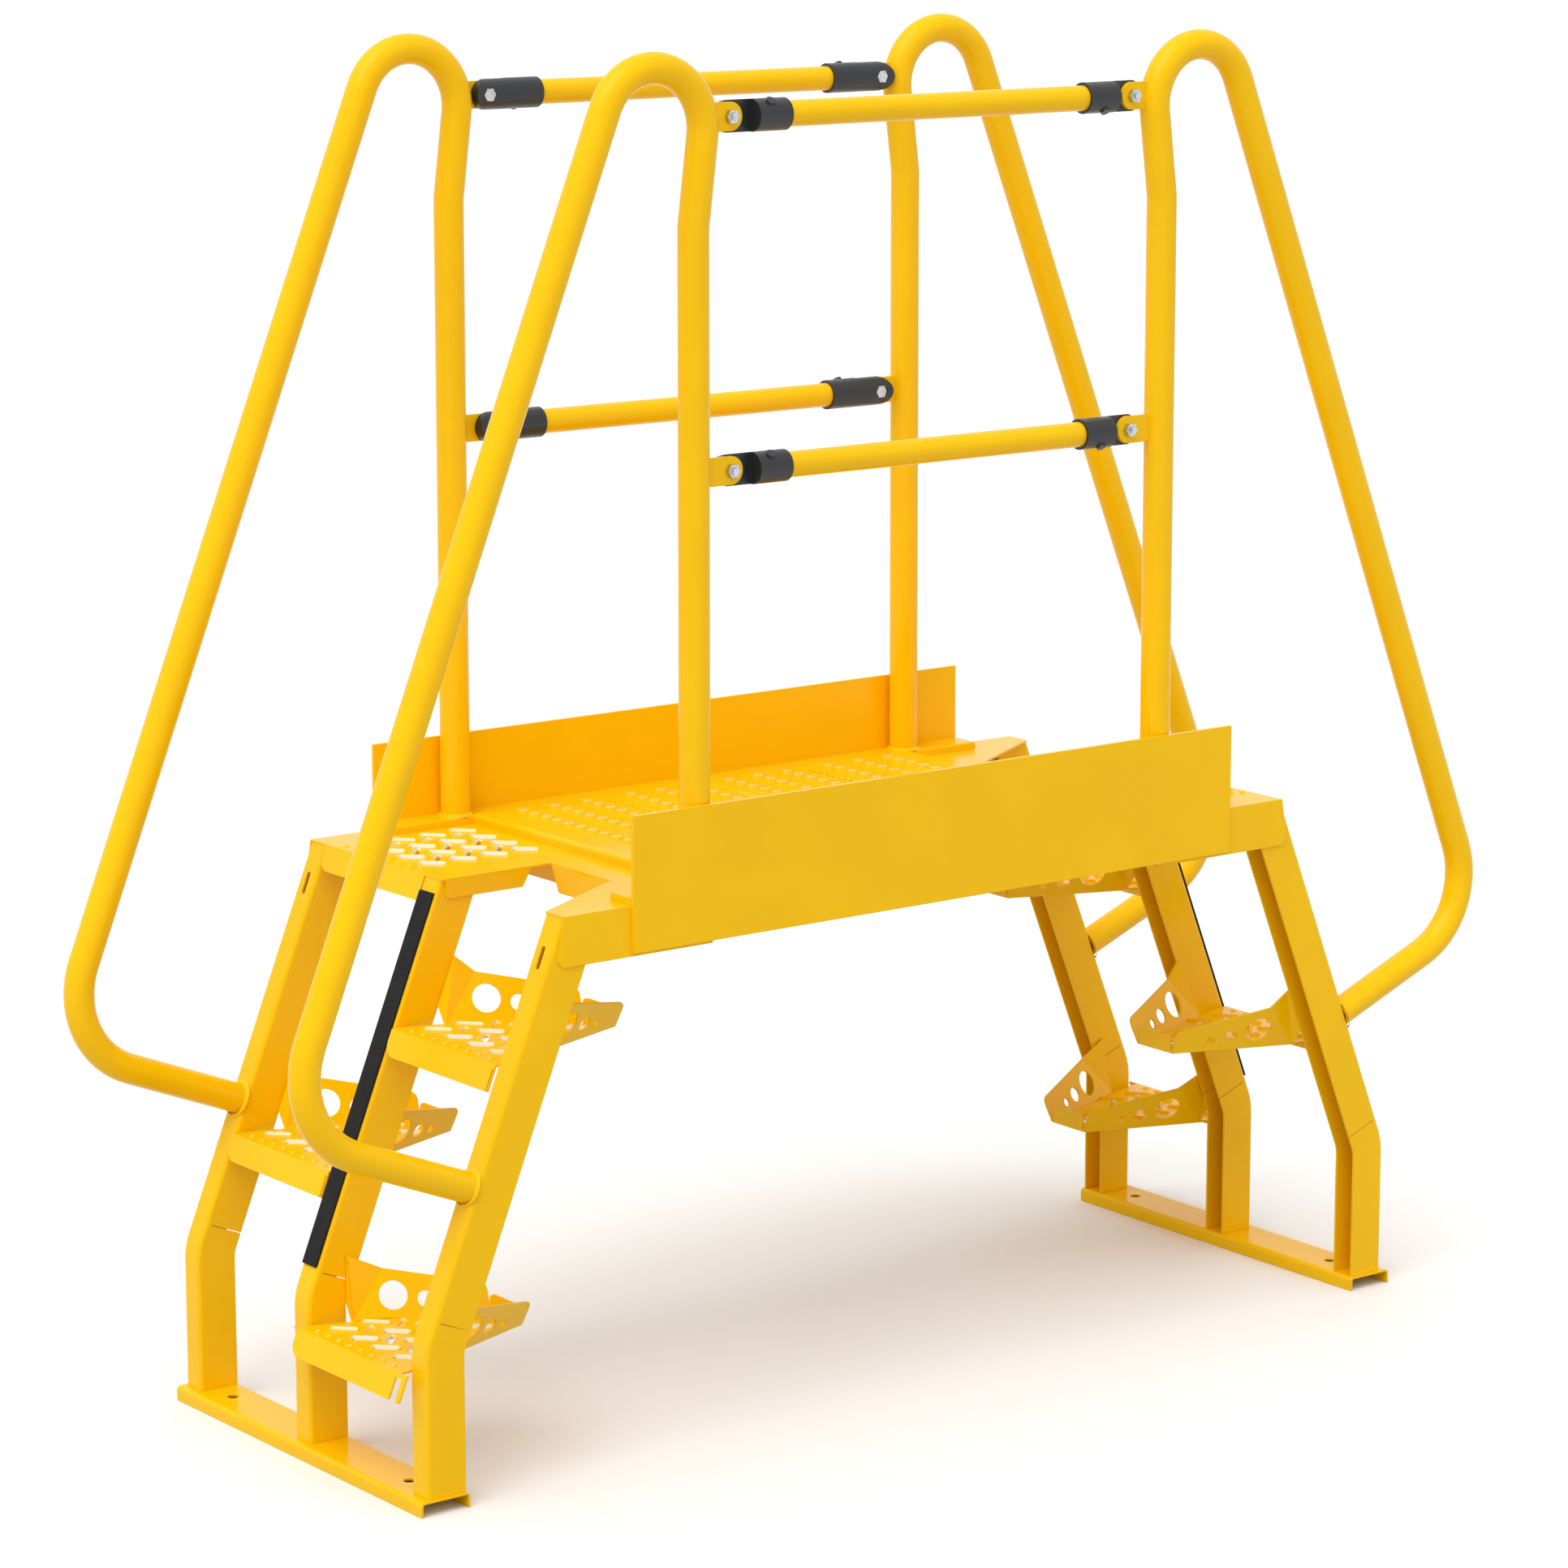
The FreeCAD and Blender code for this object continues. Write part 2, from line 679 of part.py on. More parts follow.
def tread(name, turned, step, side, low_y, high_y):
    """Builds a folded, perforated half tread.

    Args:
        step: steps below the head plate.
        side: +1 for the half at +Y, -1 for the half at -Y.
        low_y, high_y: ends of the nose from the tread's own middle.
    """
    t = S.sheet_t
    proud = (t + S.gap) / SIN
    inner = S.stringer_w / 2.0 + S.gap
    outer = S.stringer_y - S.stringer_w / 2.0 - S.gap
    hw = (outer - inner) / 2.0
    rear = S.tread_rear_hw
    top = S.head_z - step * S.rise
    place = (-front_x(top) - proud, side * (outer + inner) / 2.0, top)
    body = new_body(name + "_leaf", turned, place)
    # The walking leaf starts to taper just behind the nose.
    slab(body, "walking_leaf", None, [
        (0.0, -hw), (S.tread_taper_x, -hw), (S.tread_d, -rear),
        (S.tread_d, rear), (S.tread_taper_x, hw), (0.0, hw),
    ], t, back=True)
    # The nose lies along the stringer fronts, with a slit beside its lower end.
    frame = ((0.0, 0.0, 0.0), V(0, 1, 0), V(COS.value, 0, SIN.value))
    low = -S.nose_drop / SIN
    slit = low_y + S.nose_tab
    slab(body, "nose", frame, [
        (low_y, low, 8.0), (slit, low, 8.0), (slit, -6.0), (slit + S.nose_slit, -6.0),
        (slit + S.nose_slit, low, 4.0), (high_y, low, S.nose_r), (high_y, 0.0), (low_y, 0.0),
    ], t)
    slab(body, "nose_top", None, [
        (0.0, low_y), (proud, low_y), (proud, high_y), (0.0, high_y),
    ], t, back=True)
    # Side flanges follow the taper and lean outwards.
    run = S.tread_d - S.tread_taper_x
    spread = hw - rear
    length = root(run * run + spread * spread)
    cos_t = (run / length).value
    sin_t = (spread / length).value
    lean = math.radians(S.lean_deg.value)
    lift = t / cosine(S.lean_deg)
    stringer_back = (S.stringer_d / SIN + proud).value
    sides = []
    for hand in (1.0, -1.0):
        word = "far" if hand > 0 else "near"
        along = V(-cos_t, hand * sin_t, 0)
        up = V(sin_t * math.sin(lean), hand * cos_t * math.sin(lean), math.cos(lean))
        corner = V(S.tread_d.value, hand * rear.value, -t.value)
        side_y = hand * (hw.value - 0.2)
        tip_x = stringer_back + (S.wing_high * COT).value
        toe_x = stringer_back + (S.wing_low * COT).value
        if step == 3:
            # Beside the upright feet the back of the stringer is upright too.
            tip_x = toe_x = (front_x(top) + proud - S.leg_x + S.stringer_d).value
        side_item = doc.addObject("Part::Feature", "%s_side_%s" % (name, word))
        side_item.Shape = folded_side(
            hand, corner, along, up, lift.value,
            V(tip_x, side_y, S.wing_high.value), V(toe_x, side_y, S.wing_low.value), t.value,
        )
        side_item.Placement = body.Placement
        sides.append(side_item)
    # The rear lip stands between two relief slits.
    lip = rear - 5.0
    frame = ((S.tread_d, 0.0, -t), V(0, 1, 0), V(0, 0, 1))
    slab(body, "rear_lip", frame, [
        (-lip, 0.0), (lip, 0.0), (lip, 24.0 + t, 10.0), (-lip, 24.0 + t, 10.0),
    ], t, back=True)
    first = S.perf_first
    pitch = S.perf_pitch
    slots(body, "slots_front", first, -1.5 * pitch, 4, 2, -1)
    slots(body, "slots_rear", first + 2.0 * pitch, -0.5 * pitch, 2, 2, -1)
    slots(body, "cross_front", first + 0.5 * pitch, -1.0 * pitch, 3, 2, 1)
    slots(body, "cross_rear", first + 2.5 * pitch, as_size(0.0), 1, 2, 1)
    whole = doc.addObject("Part::MultiFuse", name)
    whole.Label = name
    whole.Shapes = [body] + sides
    doc.recompute()
    return whole


def head_plate(name, turned):
    """Builds a head plate: a perforated half tread and an open foot space."""
    body = new_body(name, turned, (-S.head_x, 0.0, S.head_z))
    t = S.sheet_t
    out = S.plate_out_y
    depth = S.head_x - S.head_in_x - S.gap
    mid = S.stringer_w / 2.0 + S.gap
    edge = mid + t
    inner = S.stringer_y - S.stringer_w / 2.0
    cross = S.head_x - S.cross_x
    slab(body, "walking_leaf", None, [
        (0.0, out), (0.0, -edge), (cross, -edge), (cross, -S.arm_y),
        (cross - 12.0, -S.arm_y - 6.0), (0.0, -inner), (0.0, -out),
        (depth, -out), (depth, out),
    ], t, back=True)
    # Side flanges down both outsides; their fronts reach over the stringers.
    side = S.head_side_z
    for hand in (1.0, -1.0):
        word = "far" if hand > 0 else "near"
        frame = ((0.0, hand * out, 0.0), V(1, 0, 0), V(0, 0, 1))
        slab(body, "side_" + word, frame, [
            (0.0, 0.0), (-11.0, -side, 12.0), (depth, -side), (depth, 0.0),
        ], t - S.gap, back=hand < 0)
    # Nose of the half tread, between the stringers and in line with their fronts.
    low = -S.nose_drop / SIN
    frame = ((0.0, 0.0, 0.0), V(0, 1, 0), V(COS.value, 0, SIN.value))
    slab(body, "nose", frame, [
        (mid, low, 4.0), (inner - S.gap, low, S.nose_r), (inner - S.gap, 0.0), (mid, 0.0),
    ], t)
    # Flange along the middle stringer and across the back of the foot space.
    frame = ((0.0, -edge, 0.0), V(1, 0, 0), V(0, 0, 1))
    slab(body, "middle_flange", frame, [
        (6.5, 0.0), (6.5, -27.4, 4.0), (cross - 46.0, -27.4, 4.0), (cross - 31.0, 0.0),
    ], t, back=True)
    frame = ((cross, 0.0, 0.0), V(0, 1, 0), V(0, 0, 1))
    slab(body, "cross_flange", frame, [
        (-edge, 0.0), (-edge - 18.0, -39.0), (-S.arm_y, -39.0), (-S.arm_y, 0.0),
    ], t)
    first = S.perf_first
    pitch = S.perf_pitch
    centre = (inner + mid) / 2.0
    slots(body, "slots_main", first, centre - 1.5 * pitch, 4, 4, -1)
    slots(body, "cross_main", first + 0.5 * pitch, centre - pitch, 3, 3, 1)
    return body


# Walkway.


def plank(name, middle_x, width):
    """Builds a deck plank: an inverted U laid across the walkway."""
    body = new_body(name, False, (middle_x, 0.0, S.deck_z))
    frame = ((0.0, 0.0, 0.0), V(0, 0, -1), V(1, 0, 0))
    section = u_section(body, "section", frame, width, S.plank_h, S.plank_t)
    pad(body, "plank", section, 2.0 * S.deck_hw, middle=True)
    return body


def side_beam(name, turned):
    """Builds a side beam: a bar under the posts on a folded channel for the planks."""
    body = new_body(name, turned)
    t = S.sheet_t
    in_y = S.deck_hw + 2.0 * S.gap
    out_y = S.plate_out_y
    bar_top = S.head_z + S.bar_h
    bar = new_sketch(body, "bar_outline", "YZ_Plane")
    polygon(bar, [
        (-out_y, S.head_z + S.gap), (-in_y, S.head_z + S.gap), (-in_y, bar_top, 2.0),
        (-out_y, bar_top),
    ])
    pad(body, "bar", bar, 2.0 * S.frame_x, middle=True)
    ledge_z = S.deck_z - S.plank_h - S.gap
    section = new_sketch(body, "channel_outline", "YZ_Plane")
    polygon(section, [
        (-out_y, S.head_z + S.gap), (-out_y, S.head_z - t), (-in_y - t, S.head_z - t),
        (-in_y - t, ledge_z - t), (-in_y + 25.0, ledge_z - t), (-in_y + 25.0, ledge_z),
        (-in_y, ledge_z), (-in_y, S.head_z + S.gap),
    ])
    pad(body, "channel", section, 2.0 * S.head_in_x - 4.0 * S.gap, middle=True)
    return body


def toe_board(name, turned):
    """Builds a toe board."""
    body = new_body(name, turned)
    low = S.plate_out_y + S.gap
    section = new_sketch(body, "board_outline", "YZ_Plane")
    polygon(section, [
        (-low, S.toe_low_z), (-low, S.toe_top_z),
        (-low - S.toe_t, S.toe_top_z), (-low - S.toe_t, S.toe_low_z),
    ])
    pad(body, "board", section, 2.0 * S.frame_x, middle=True)
    return body


# Handrails and guard rails.


def tube_run(body, name, start, end, radius, wall):
    """Adds a straight tube between two points in the body's XZ plane."""
    a = V(start[0], 0, start[1])
    b = V(end[0], 0, end[1])
    out = (b - a).normalize()
    side = V(0, 1, 0)
    frame = ((a.x, 0.0, a.z), side, out.cross(side))
    ring = new_sketch(body, name + "_ring", "XY_Plane", frame)
    circle(ring, 0.0, 0.0, radius)
    circle(ring, 0.0, 0.0, radius - wall)
    return pad(body, name, ring, (b - a).Length)


def tube_bend(body, name, centre, bend_r, from_deg, turn_deg, radius, wall):
    """Adds a bent tube; angles count from +X towards +Z in the body's XZ plane."""
    first = math.radians(from_deg)
    out = V(math.cos(first), 0, math.sin(first))
    frame = ((centre[0], 0.0, centre[1]), out, V(0, 1, 0))
    ring = new_sketch(body, name + "_ring", "XY_Plane", frame)
    circle(ring, bend_r, 0.0, radius)
    circle(ring, bend_r, 0.0, radius - wall)
    feature = body.newObject("PartDesign::Revolution", name)
    feature.Profile = ring
    feature.ReferenceAxis = (ring, ["V_Axis"])
    feature.Angle = turn_deg
    # The axis is +Y, so a plain turn runs from +X towards -Z.
    feature.Reversed = True
    doc.recompute()
    return feature


def handrail(name, turned, hand):
    """Builds a handrail: post, top loop, slope, elbow and return, with two lugs."""
    body = new_body(name, turned, (0.0, hand * S.rail_y, 0.0))
    radius = S.tube_d / 2.0
    wall = S.tube_wall
    post_z = (S.head_z + S.bar_h + S.gap).value
    kink = V(-S.kink_x.value, S.kink_z.value, 0)
    foot = V(-S.post_x.value, post_z, 0)
    loop = V(-S.loop_x.value, S.loop_z.value, 0)
    loop_r = S.loop_r.value
    # Tangent from the kink to the loop's inner side.
    to_loop = loop - kink
    reach = math.sqrt(to_loop.Length ** 2 - loop_r ** 2)
    facing = math.atan2(to_loop.y, to_loop.x) - math.asin(loop_r / to_loop.Length)
    lean = V(math.cos(facing), math.sin(facing), 0)
    touch = kink + lean * reach
    touch_deg = math.degrees(facing) - 90.0
    # The kink is a very short bend.
    up = (kink - foot).normalize()
    turn = up.getAngle(lean)
    short_r = radius.value + 4.0
    step = short_r * math.tan(turn / 2.0)
    up_deg = math.degrees(math.atan2(up.y, up.x))
    bend_from = kink - up * step
    bend_centre = bend_from + V(up.y, -up.x, 0) * short_r
    tube_run(body, "post", foot, bend_from, radius, wall)
    tube_run(body, "lean", kink + lean * step, touch, radius, wall)
    # Loop over the top, down the slope and round the elbow.
    back = V(-SIN.value, COS.value, 0)
    down = V(-COS.value, -SIN.value, 0)
    slope_deg = 180.0 - (90.0 - S.slope_deg.value)
    tube_bend(body, "loop", loop, S.loop_r, touch_deg, slope_deg - touch_deg, radius, wall)
    leave = loop + back * loop_r
    elbow_r = S.elbow_r.value
    end_z = S.return_z
    end = V(-(front_x(end_z) + S.gap / SIN).value, end_z.value, 0)
    fall = (end - leave).dot(down) - elbow_r
    turn_in = leave + down * fall
    elbow = turn_in - back * elbow_r
    turn_out = elbow + down * elbow_r
    tube_run(body, "slope", leave, turn_in, radius, wall)
    tube_bend(body, "elbow", elbow, S.elbow_r, slope_deg, 90.0, radius, wall)
    tube_run(body, "return", turn_out, end, radius, wall)
    # The short bend turns clockwise, so it is drawn from its far end.
    far_deg = math.degrees(math.atan2(lean.y, lean.x)) + 90.0
    tube_bend(body, "kink", bend_centre, short_r, far_deg, math.degrees(turn), radius, wall)
    # Lugs for the guard rails.
    for word, z, root_x in (("top", S.guard_top_z, 372.5), ("mid", S.guard_mid_z, 384.3)):
        outline = new_sketch(body, "lug_outline_" + word, "XZ_Plane")
        r = S.lug_r
        polygon(outline, [
            (-root_x, z - r), (-S.bolt_x + r, z - r, r - 0.1),
            (-S.bolt_x + r, z + r, r - 0.1), (-root_x, z + r),
        ])
        pad(body, "lug_" + word, outline, S.lug_t, middle=True)
        hole = new_sketch(body, "lug_hole_" + word, "XZ_Plane")
        circle(hole, -S.bolt_x, z, S.bolt_d / 2.0 + S.gap)
        pocket(body, "bolt_hole_" + word, hole, 2.0 * S.lug_t, middle=True)
    return body


def guard_rail(name, hand, z):
    """Builds a straight guard rail tube."""
    body = new_body(name, False, (0.0, hand * S.rail_y, z))
    ring = new_sketch(body, "ring", "YZ_Plane")
    circle(ring, 0.0, 0.0, S.guard_d / 2.0)
    circle(ring, 0.0, 0.0, S.guard_d / 2.0 - S.guard_wall)
    pad(body, "tube", ring, 2.0 * (S.fitting_cut_x - 12.0), middle=True)
    return body


def part_item(kind, name, **values):
    """Makes a primitive whose named sizes follow the sheet."""
    item = doc.addObject("Part::" + kind, name)
    for key, value in values.items():
        if key == "Polygon":
            item.Polygon = value
            continue
        value = as_size(value)
        setattr(item, key, value.value)
        if "Sizes." in value.text:
            bind(item, key, value)
    return item


def move(item, x, y, z, turn=None):
    """Places a primitive and binds its position."""
    x, y, z = as_size(x), as_size(y), as_size(z)
    item.Placement = FreeCAD.Placement(
        V(x.value, y.value, z.value), turn or FreeCAD.Rotation()
    )
    for axis, value in zip("xyz", (x, y, z)):
        if "Sizes." in value.text:
            bind(item, "Placement.Base.%s" % axis, value)
    return item


ALONG_X = FreeCAD.Rotation(V(0, 1, 0), -90)
ALONG_Y = FreeCAD.Rotation(V(1, 0, 0), -90)


def fitting(name, turned, hand, z):
    """Builds a black end fitting: a sleeve and a half tongue beside the lug.

    The shape is drawn for the left end with its tongue towards +Y.
    """
    radius = S.fitting_d / 2.0
    flat = S.lug_t / 2.0 + S.gap
    tip = S.bolt_x + radius
    whole = part_item("Cylinder", name + "_bar", Radius=radius, Height=tip - S.fitting_in_x)
    move(whole, -S.fitting_in_x, 0.0, 0.0, ALONG_X)
    nose = part_item("Cylinder", name + "_round", Radius=radius, Height=2.0 * radius)
    move(nose, -S.bolt_x, -radius, 0.0, ALONG_Y)
    block = part_item("Box", name + "_block", Length=S.bolt_x - S.fitting_in_x,
                      Width=2.0 * radius, Height=2.0 * radius)
    move(block, -S.bolt_x, -radius, -radius)
    outline = doc.addObject("Part::MultiFuse", name + "_side")
    outline.Shapes = [nose, block]
    solid = doc.addObject("Part::Common", name + "_solid")
    solid.Base = whole
    solid.Tool = outline
    boss = part_item("Cylinder", name + "_boss", Radius=7.0, Height=radius + 2.5)
    move(boss, -S.fitting_in_x - 31.0, 0.0, 0.0, FreeCAD.Rotation(V(1, 0, 0), 35))
    body = doc.addObject("Part::MultiFuse", name + "_cast")
    body.Shapes = [solid, boss]
    bore = part_item("Cylinder", name + "_bore", Radius=S.guard_d / 2.0 + S.gap,
                     Height=S.fitting_cut_x - S.fitting_in_x - 10.0)
    move(bore, -S.fitting_in_x + 1.0, 0.0, 0.0, ALONG_X)
    half = part_item("Box", name + "_half", Length=tip, Width=2.0 * radius,
                     Height=3.0 * radius)
    move(half, -S.fitting_cut_x - tip, flat - 2.0 * radius, -1.5 * radius)
    hole = part_item("Cylinder", name + "_hole", Radius=S.bolt_d / 2.0 + S.gap,
                     Height=2.0 * radius)
    move(hole, -S.bolt_x, 0.0, 0.0, ALONG_Y)
    socket = part_item("Prism", name + "_socket", Polygon=6, Circumradius=10.6,
                       Height=radius)
    move(socket, -S.bolt_x, S.head_seat, 0.0, ALONG_Y)
    tools = doc.addObject("Part::MultiFuse", name + "_cuts")
    tools.Shapes = [bore, half, hole, socket]
    cut = doc.addObject("Part::Cut", name)
    cut.Label = name
    cut.Base = body
    cut.Tool = tools
    # The far fitting is the near one rolled over about the rail.
    set_place(cut, turned, (0.0, hand * S.rail_y, z), hand > 0)
    return cut


def rail_bolts(name, turned):
    """Builds the four bolts with nuts of one side, drawn for the near side."""
    pieces = []
    for end in (-1.0, 1.0):
        for word, z in (("top", S.guard_top_z), ("mid", S.guard_mid_z)):
            tag = "%s_%s_%s" % (name, word, "a" if end < 0 else "b")
            x = end * S.bolt_x
            seat = -S.rail_y + S.head_seat + S.gap
            head = part_item("Prism", tag + "_head", Polygon=6, Circumradius=9.8, Height=6.4)
            move(head, x, seat, z, ALONG_Y)
            out = S.head_seat + S.gap + S.lug_t / 2.0 + 12.0
            shank = part_item("Cylinder", tag + "_shank", Radius=S.bolt_d / 2.0,
                              Height=out + 1.0)
            move(shank, x, seat - out, z, ALONG_Y)
            nut = part_item("Prism", tag + "_nut", Polygon=6, Circumradius=9.8, Height=8.0)
            move(nut, x, -S.rail_y - S.lug_t / 2.0 - S.gap - 8.0, z, ALONG_Y)
            bolt = doc.addObject("Part::MultiFuse", tag)
            bolt.Shapes = [head, shank, nut]
            pieces.append(bolt)
    group = doc.addObject("Part::Compound", name)
    group.Label = name
    group.Links = pieces
    set_place(group, turned, None, False)
    return group


built = []
for word, turned in (("left", False), ("right", True)):
    # On the turned end the first stringer of the builder is the far one.
    low_side, high_side = ("far", "near") if turned else ("near", "far")
    built.append(floor_channel("floor_channel_" + word, turned))
    built.append(stringer("stringer_%s_%s" % (word, low_side), turned, -S.stringer_y, True))
    built.append(stringer("stringer_%s_middle" % word, turned, as_size(0.0), False))
    built.append(stringer("stringer_%s_%s" % (word, high_side), turned, S.stringer_y, True))
    built.append(strip("front_strip_" + word, turned))
    built.append(tread("tread_%s_1" % word, turned, 3, -1.0, -S.tread_c, S.tread_c))
    built.append(tread("tread_%s_2" % word, turned, 2, 1.0, -S.tread_c + 17.0, S.tread_c))
    built.append(tread("tread_%s_3" % word, turned, 1, -1.0, -S.tread_c, S.tread_c - 17.5))
    built.append(head_plate("head_plate_" + word, turned))
    built.append(handrail("handrail_%s_%s" % (word, low_side), turned, -1.0))
    built.append(handrail("handrail_%s_%s" % (word, high_side), turned, 1.0))
    for height, z in (("top", S.guard_top_z), ("middle", S.guard_mid_z)):
        built.append(fitting("fitting_%s_%s_%s" % (word, low_side, height), turned, -1.0, z))
        built.append(fitting("fitting_%s_%s_%s" % (word, high_side, height), turned, 1.0, z))
outer_w = S.head_in_x - S.plank_w - 3.0 * S.gap
inner_mid = S.plank_w / 2.0 + S.gap
outer_mid = S.plank_w + 2.0 * S.gap + outer_w / 2.0
built.append(plank("deck_plank_1", -outer_mid, outer_w))
built.append(plank("deck_plank_2", -inner_mid, S.plank_w))
built.append(plank("deck_plank_3", inner_mid, S.plank_w))
built.append(plank("deck_plank_4", outer_mid, outer_w))
for word, turned in (("near", False), ("far", True)):
    hand = 1.0 if turned else -1.0
    built.append(side_beam("side_beam_" + word, turned))
    built.append(toe_board("toe_board_" + word, turned))
    built.append(guard_rail("guard_rail_%s_top" % word, hand, S.guard_top_z))
    built.append(guard_rail("guard_rail_%s_middle" % word, hand, S.guard_mid_z))
    built.append(rail_bolts("rail_bolts_" + word, turned))
doc.recompute()

for item in doc.Objects:
    if "Invalid" in item.State or "Error" in item.State:
        raise RuntimeError("%s: %s" % (item.Label, item.State))
for item in built:
    if item.Shape.isNull() or not item.Shape.isValid():
        raise RuntimeError("%s has no sound shape" % item.Label)
os.makedirs("parts", exist_ok=True)
for item in built:
    item.Shape.exportStep("parts/%s.step" % item.Label)
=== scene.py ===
"""Crossover platform: finishes, pressed details, welds, floor, light and camera.

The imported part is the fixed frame. This file dresses its nodes in powder coat, plastic, rubber
and zinc, and adds what is pressed into or welded onto the sheet metal: raised rims round the
tread slots, nose dimples, perforated deck buttons and weld beads. All lengths are in metres.
"""

from __future__ import annotations

import json
import logging
import math
from dataclasses import dataclass, field
from enum import Enum

import bpy
import numpy as np
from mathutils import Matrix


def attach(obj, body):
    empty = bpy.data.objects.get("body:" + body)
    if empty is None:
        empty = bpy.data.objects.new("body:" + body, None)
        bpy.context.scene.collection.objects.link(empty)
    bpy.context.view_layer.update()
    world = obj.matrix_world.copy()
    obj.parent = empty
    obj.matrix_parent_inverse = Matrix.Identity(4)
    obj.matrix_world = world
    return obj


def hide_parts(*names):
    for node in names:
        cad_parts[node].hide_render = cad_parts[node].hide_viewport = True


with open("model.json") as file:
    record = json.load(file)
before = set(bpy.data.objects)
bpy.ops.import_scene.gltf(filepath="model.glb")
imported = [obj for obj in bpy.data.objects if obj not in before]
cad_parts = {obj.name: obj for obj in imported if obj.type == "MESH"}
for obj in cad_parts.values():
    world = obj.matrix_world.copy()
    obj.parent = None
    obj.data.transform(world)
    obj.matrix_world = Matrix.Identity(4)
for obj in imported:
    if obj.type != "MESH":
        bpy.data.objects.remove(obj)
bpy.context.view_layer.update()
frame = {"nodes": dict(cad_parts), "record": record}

log = logging.getLogger("platform")

Colour = tuple[float, float, float]
MM = 0.001
SLOPE = math.radians(68.0)


def linear(red: int, green: int, blue: int) -> Colour:
    """Turns a screen colour from 0 to 255 into linear light.

    Args:
        red: Red on the screen.
        green: Green on the screen.
        blue: Blue on the screen.

    Returns:
        The three channels by the screen's curve: a power of 2.4 over a short straight foot.
    """
    parts = np.array((red, green, blue), float) / 255.0
    curve = np.where(parts <= 0.04045, parts / 12.92, ((parts + 0.055) / 1.055) ** 2.4)
    return tuple(float(c) for c in curve)


class End(Enum):
    """The two ends of the platform: the right one is the left one turned half round."""

    LEFT = 1.0
    RIGHT = -1.0

    @property
    def word(self) -> str:
        """The end's name in a piece's name."""
        return self.name.lower()


class Slant(Enum):
    """The two ways a slot runs across a walking surface."""

    MAIN = -45.0
    CROSS = 45.0


# ---- meshes


@dataclass
class Skin:
    """Corner points and faces of a surface before it becomes a mesh.

    Attributes:
        points: Corners, one row of three metres each.
        quads: Four corner numbers a face.
        caps: Faces of any one number of corners that close poles, or None.
        marks: Two texture metres a corner, or None.
    """

    points: np.ndarray
    quads: np.ndarray
    caps: np.ndarray | None = None
    marks: np.ndarray | None = None

    @classmethod
    def grid(cls, points: np.ndarray, wrap: bool = False, capped: bool = False) -> Skin:
        """Joins a grid of points into faces.

        Args:
            points: Rows by columns by three. A row is carried along by the next one.
            wrap: True joins the last column to the first.
            capped: True closes the last row, a small ring, with one face.

        Returns:
            The skin, whose faces look to the side from which columns run anticlockwise
            as rows go up.
        """
        rows, columns = points.shape[:2]
        row = np.arange(rows - 1)[:, None]
        column = np.arange(columns if wrap else columns - 1)[None, :]
        after = (column + 1) % columns
        corners = [row * columns + column, row * columns + after]
        corners += [(row + 1) * columns + after, (row + 1) * columns + column]
        quads = np.stack(np.broadcast_arrays(*corners), axis=-1).reshape(-1, 4)
        last = (rows - 1) * columns + np.arange(columns)[None, :]
        return cls(points.reshape(-1, 3), quads, last if capped else None)

    def stamped(self, places: np.ndarray, turns: np.ndarray) -> Skin:
        """Repeats the skin at many places.

        Args:
            places: One row of three metres a copy.
            turns: One turn about Z in radians a copy.

        Returns:
            All the copies as one skin: each point is turned about Z, then moved.
        """
        c, s, nought = np.cos(turns), np.sin(turns), np.zeros_like(turns)
        spin = np.stack((c, -s, nought, s, c, nought, nought, nought, nought + 1.0), axis=-1)
        moved = np.einsum("mij,kj->mki", spin.reshape(-1, 3, 3), self.points)
        moved += places[:, None, :]
        step = len(self.points) * np.arange(len(places))[:, None, None]
        caps = None
        if self.caps is not None:
            caps = (self.caps[None] + step).reshape(-1, self.caps.shape[1])
        marks = None if self.marks is None else np.tile(self.marks, (len(places), 1))
        return Skin(moved.reshape(-1, 3), (self.quads[None] + step).reshape(-1, 4), caps, marks)

    def marked(self, rows: np.ndarray, columns: int) -> Skin:
        """Returns the skin with one mark a row of its grid, carried along the columns."""
        share = np.repeat(rows, columns)
        self.marks = np.stack((share, np.zeros_like(share)), axis=-1)
        return self

    def piece(self, name: str, slot: str, material: bpy.types.Material) -> bpy.types.Object:
        """Makes the object, dresses it, and lets it ride on the platform.

        Args:
            name: Name of the piece.
            slot: The record's material slot; not used.
            material: Finish of the piece.

        Returns:
            The finished object, at the origin, with its place in its mesh.
        """
        sides = [self.quads] if self.caps is None else [self.quads, self.caps]
        loops = np.concatenate([s.ravel() for s in sides]).astype(np.int32)
        totals = np.concatenate([np.full(len(s), s.shape[1]) for s in sides]).astype(np.int32)
        starts = (np.cumsum(totals) - totals).astype(np.int32)
        mesh = bpy.data.meshes.new(name)
        mesh.vertices.add(len(self.points))
        mesh.vertices.foreach_set("co", self.points.astype(np.float32).ravel())
        mesh.loops.add(len(loops))
        mesh.loops.foreach_set("vertex_index", loops)
        mesh.polygons.add(len(totals))
        mesh.polygons.foreach_set("loop_start", starts)
        mesh.update(calc_edges=True)
        mesh.validate()
        mesh.polygons.foreach_set("use_smooth", np.ones(len(totals), bool))
        if self.marks is not None:
            layer = mesh.uv_layers.new(name="marks")
            layer.uv.foreach_set("vector", self.marks[loops].astype(np.float32).ravel())
        mesh.materials.append(material)
        thing = bpy.data.objects.new(name, mesh)
        bpy.context.scene.collection.objects.link(thing)
        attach(thing, "root")
        log.info("%s: %d faces", name, len(totals))
        return thing


# ---- finishes


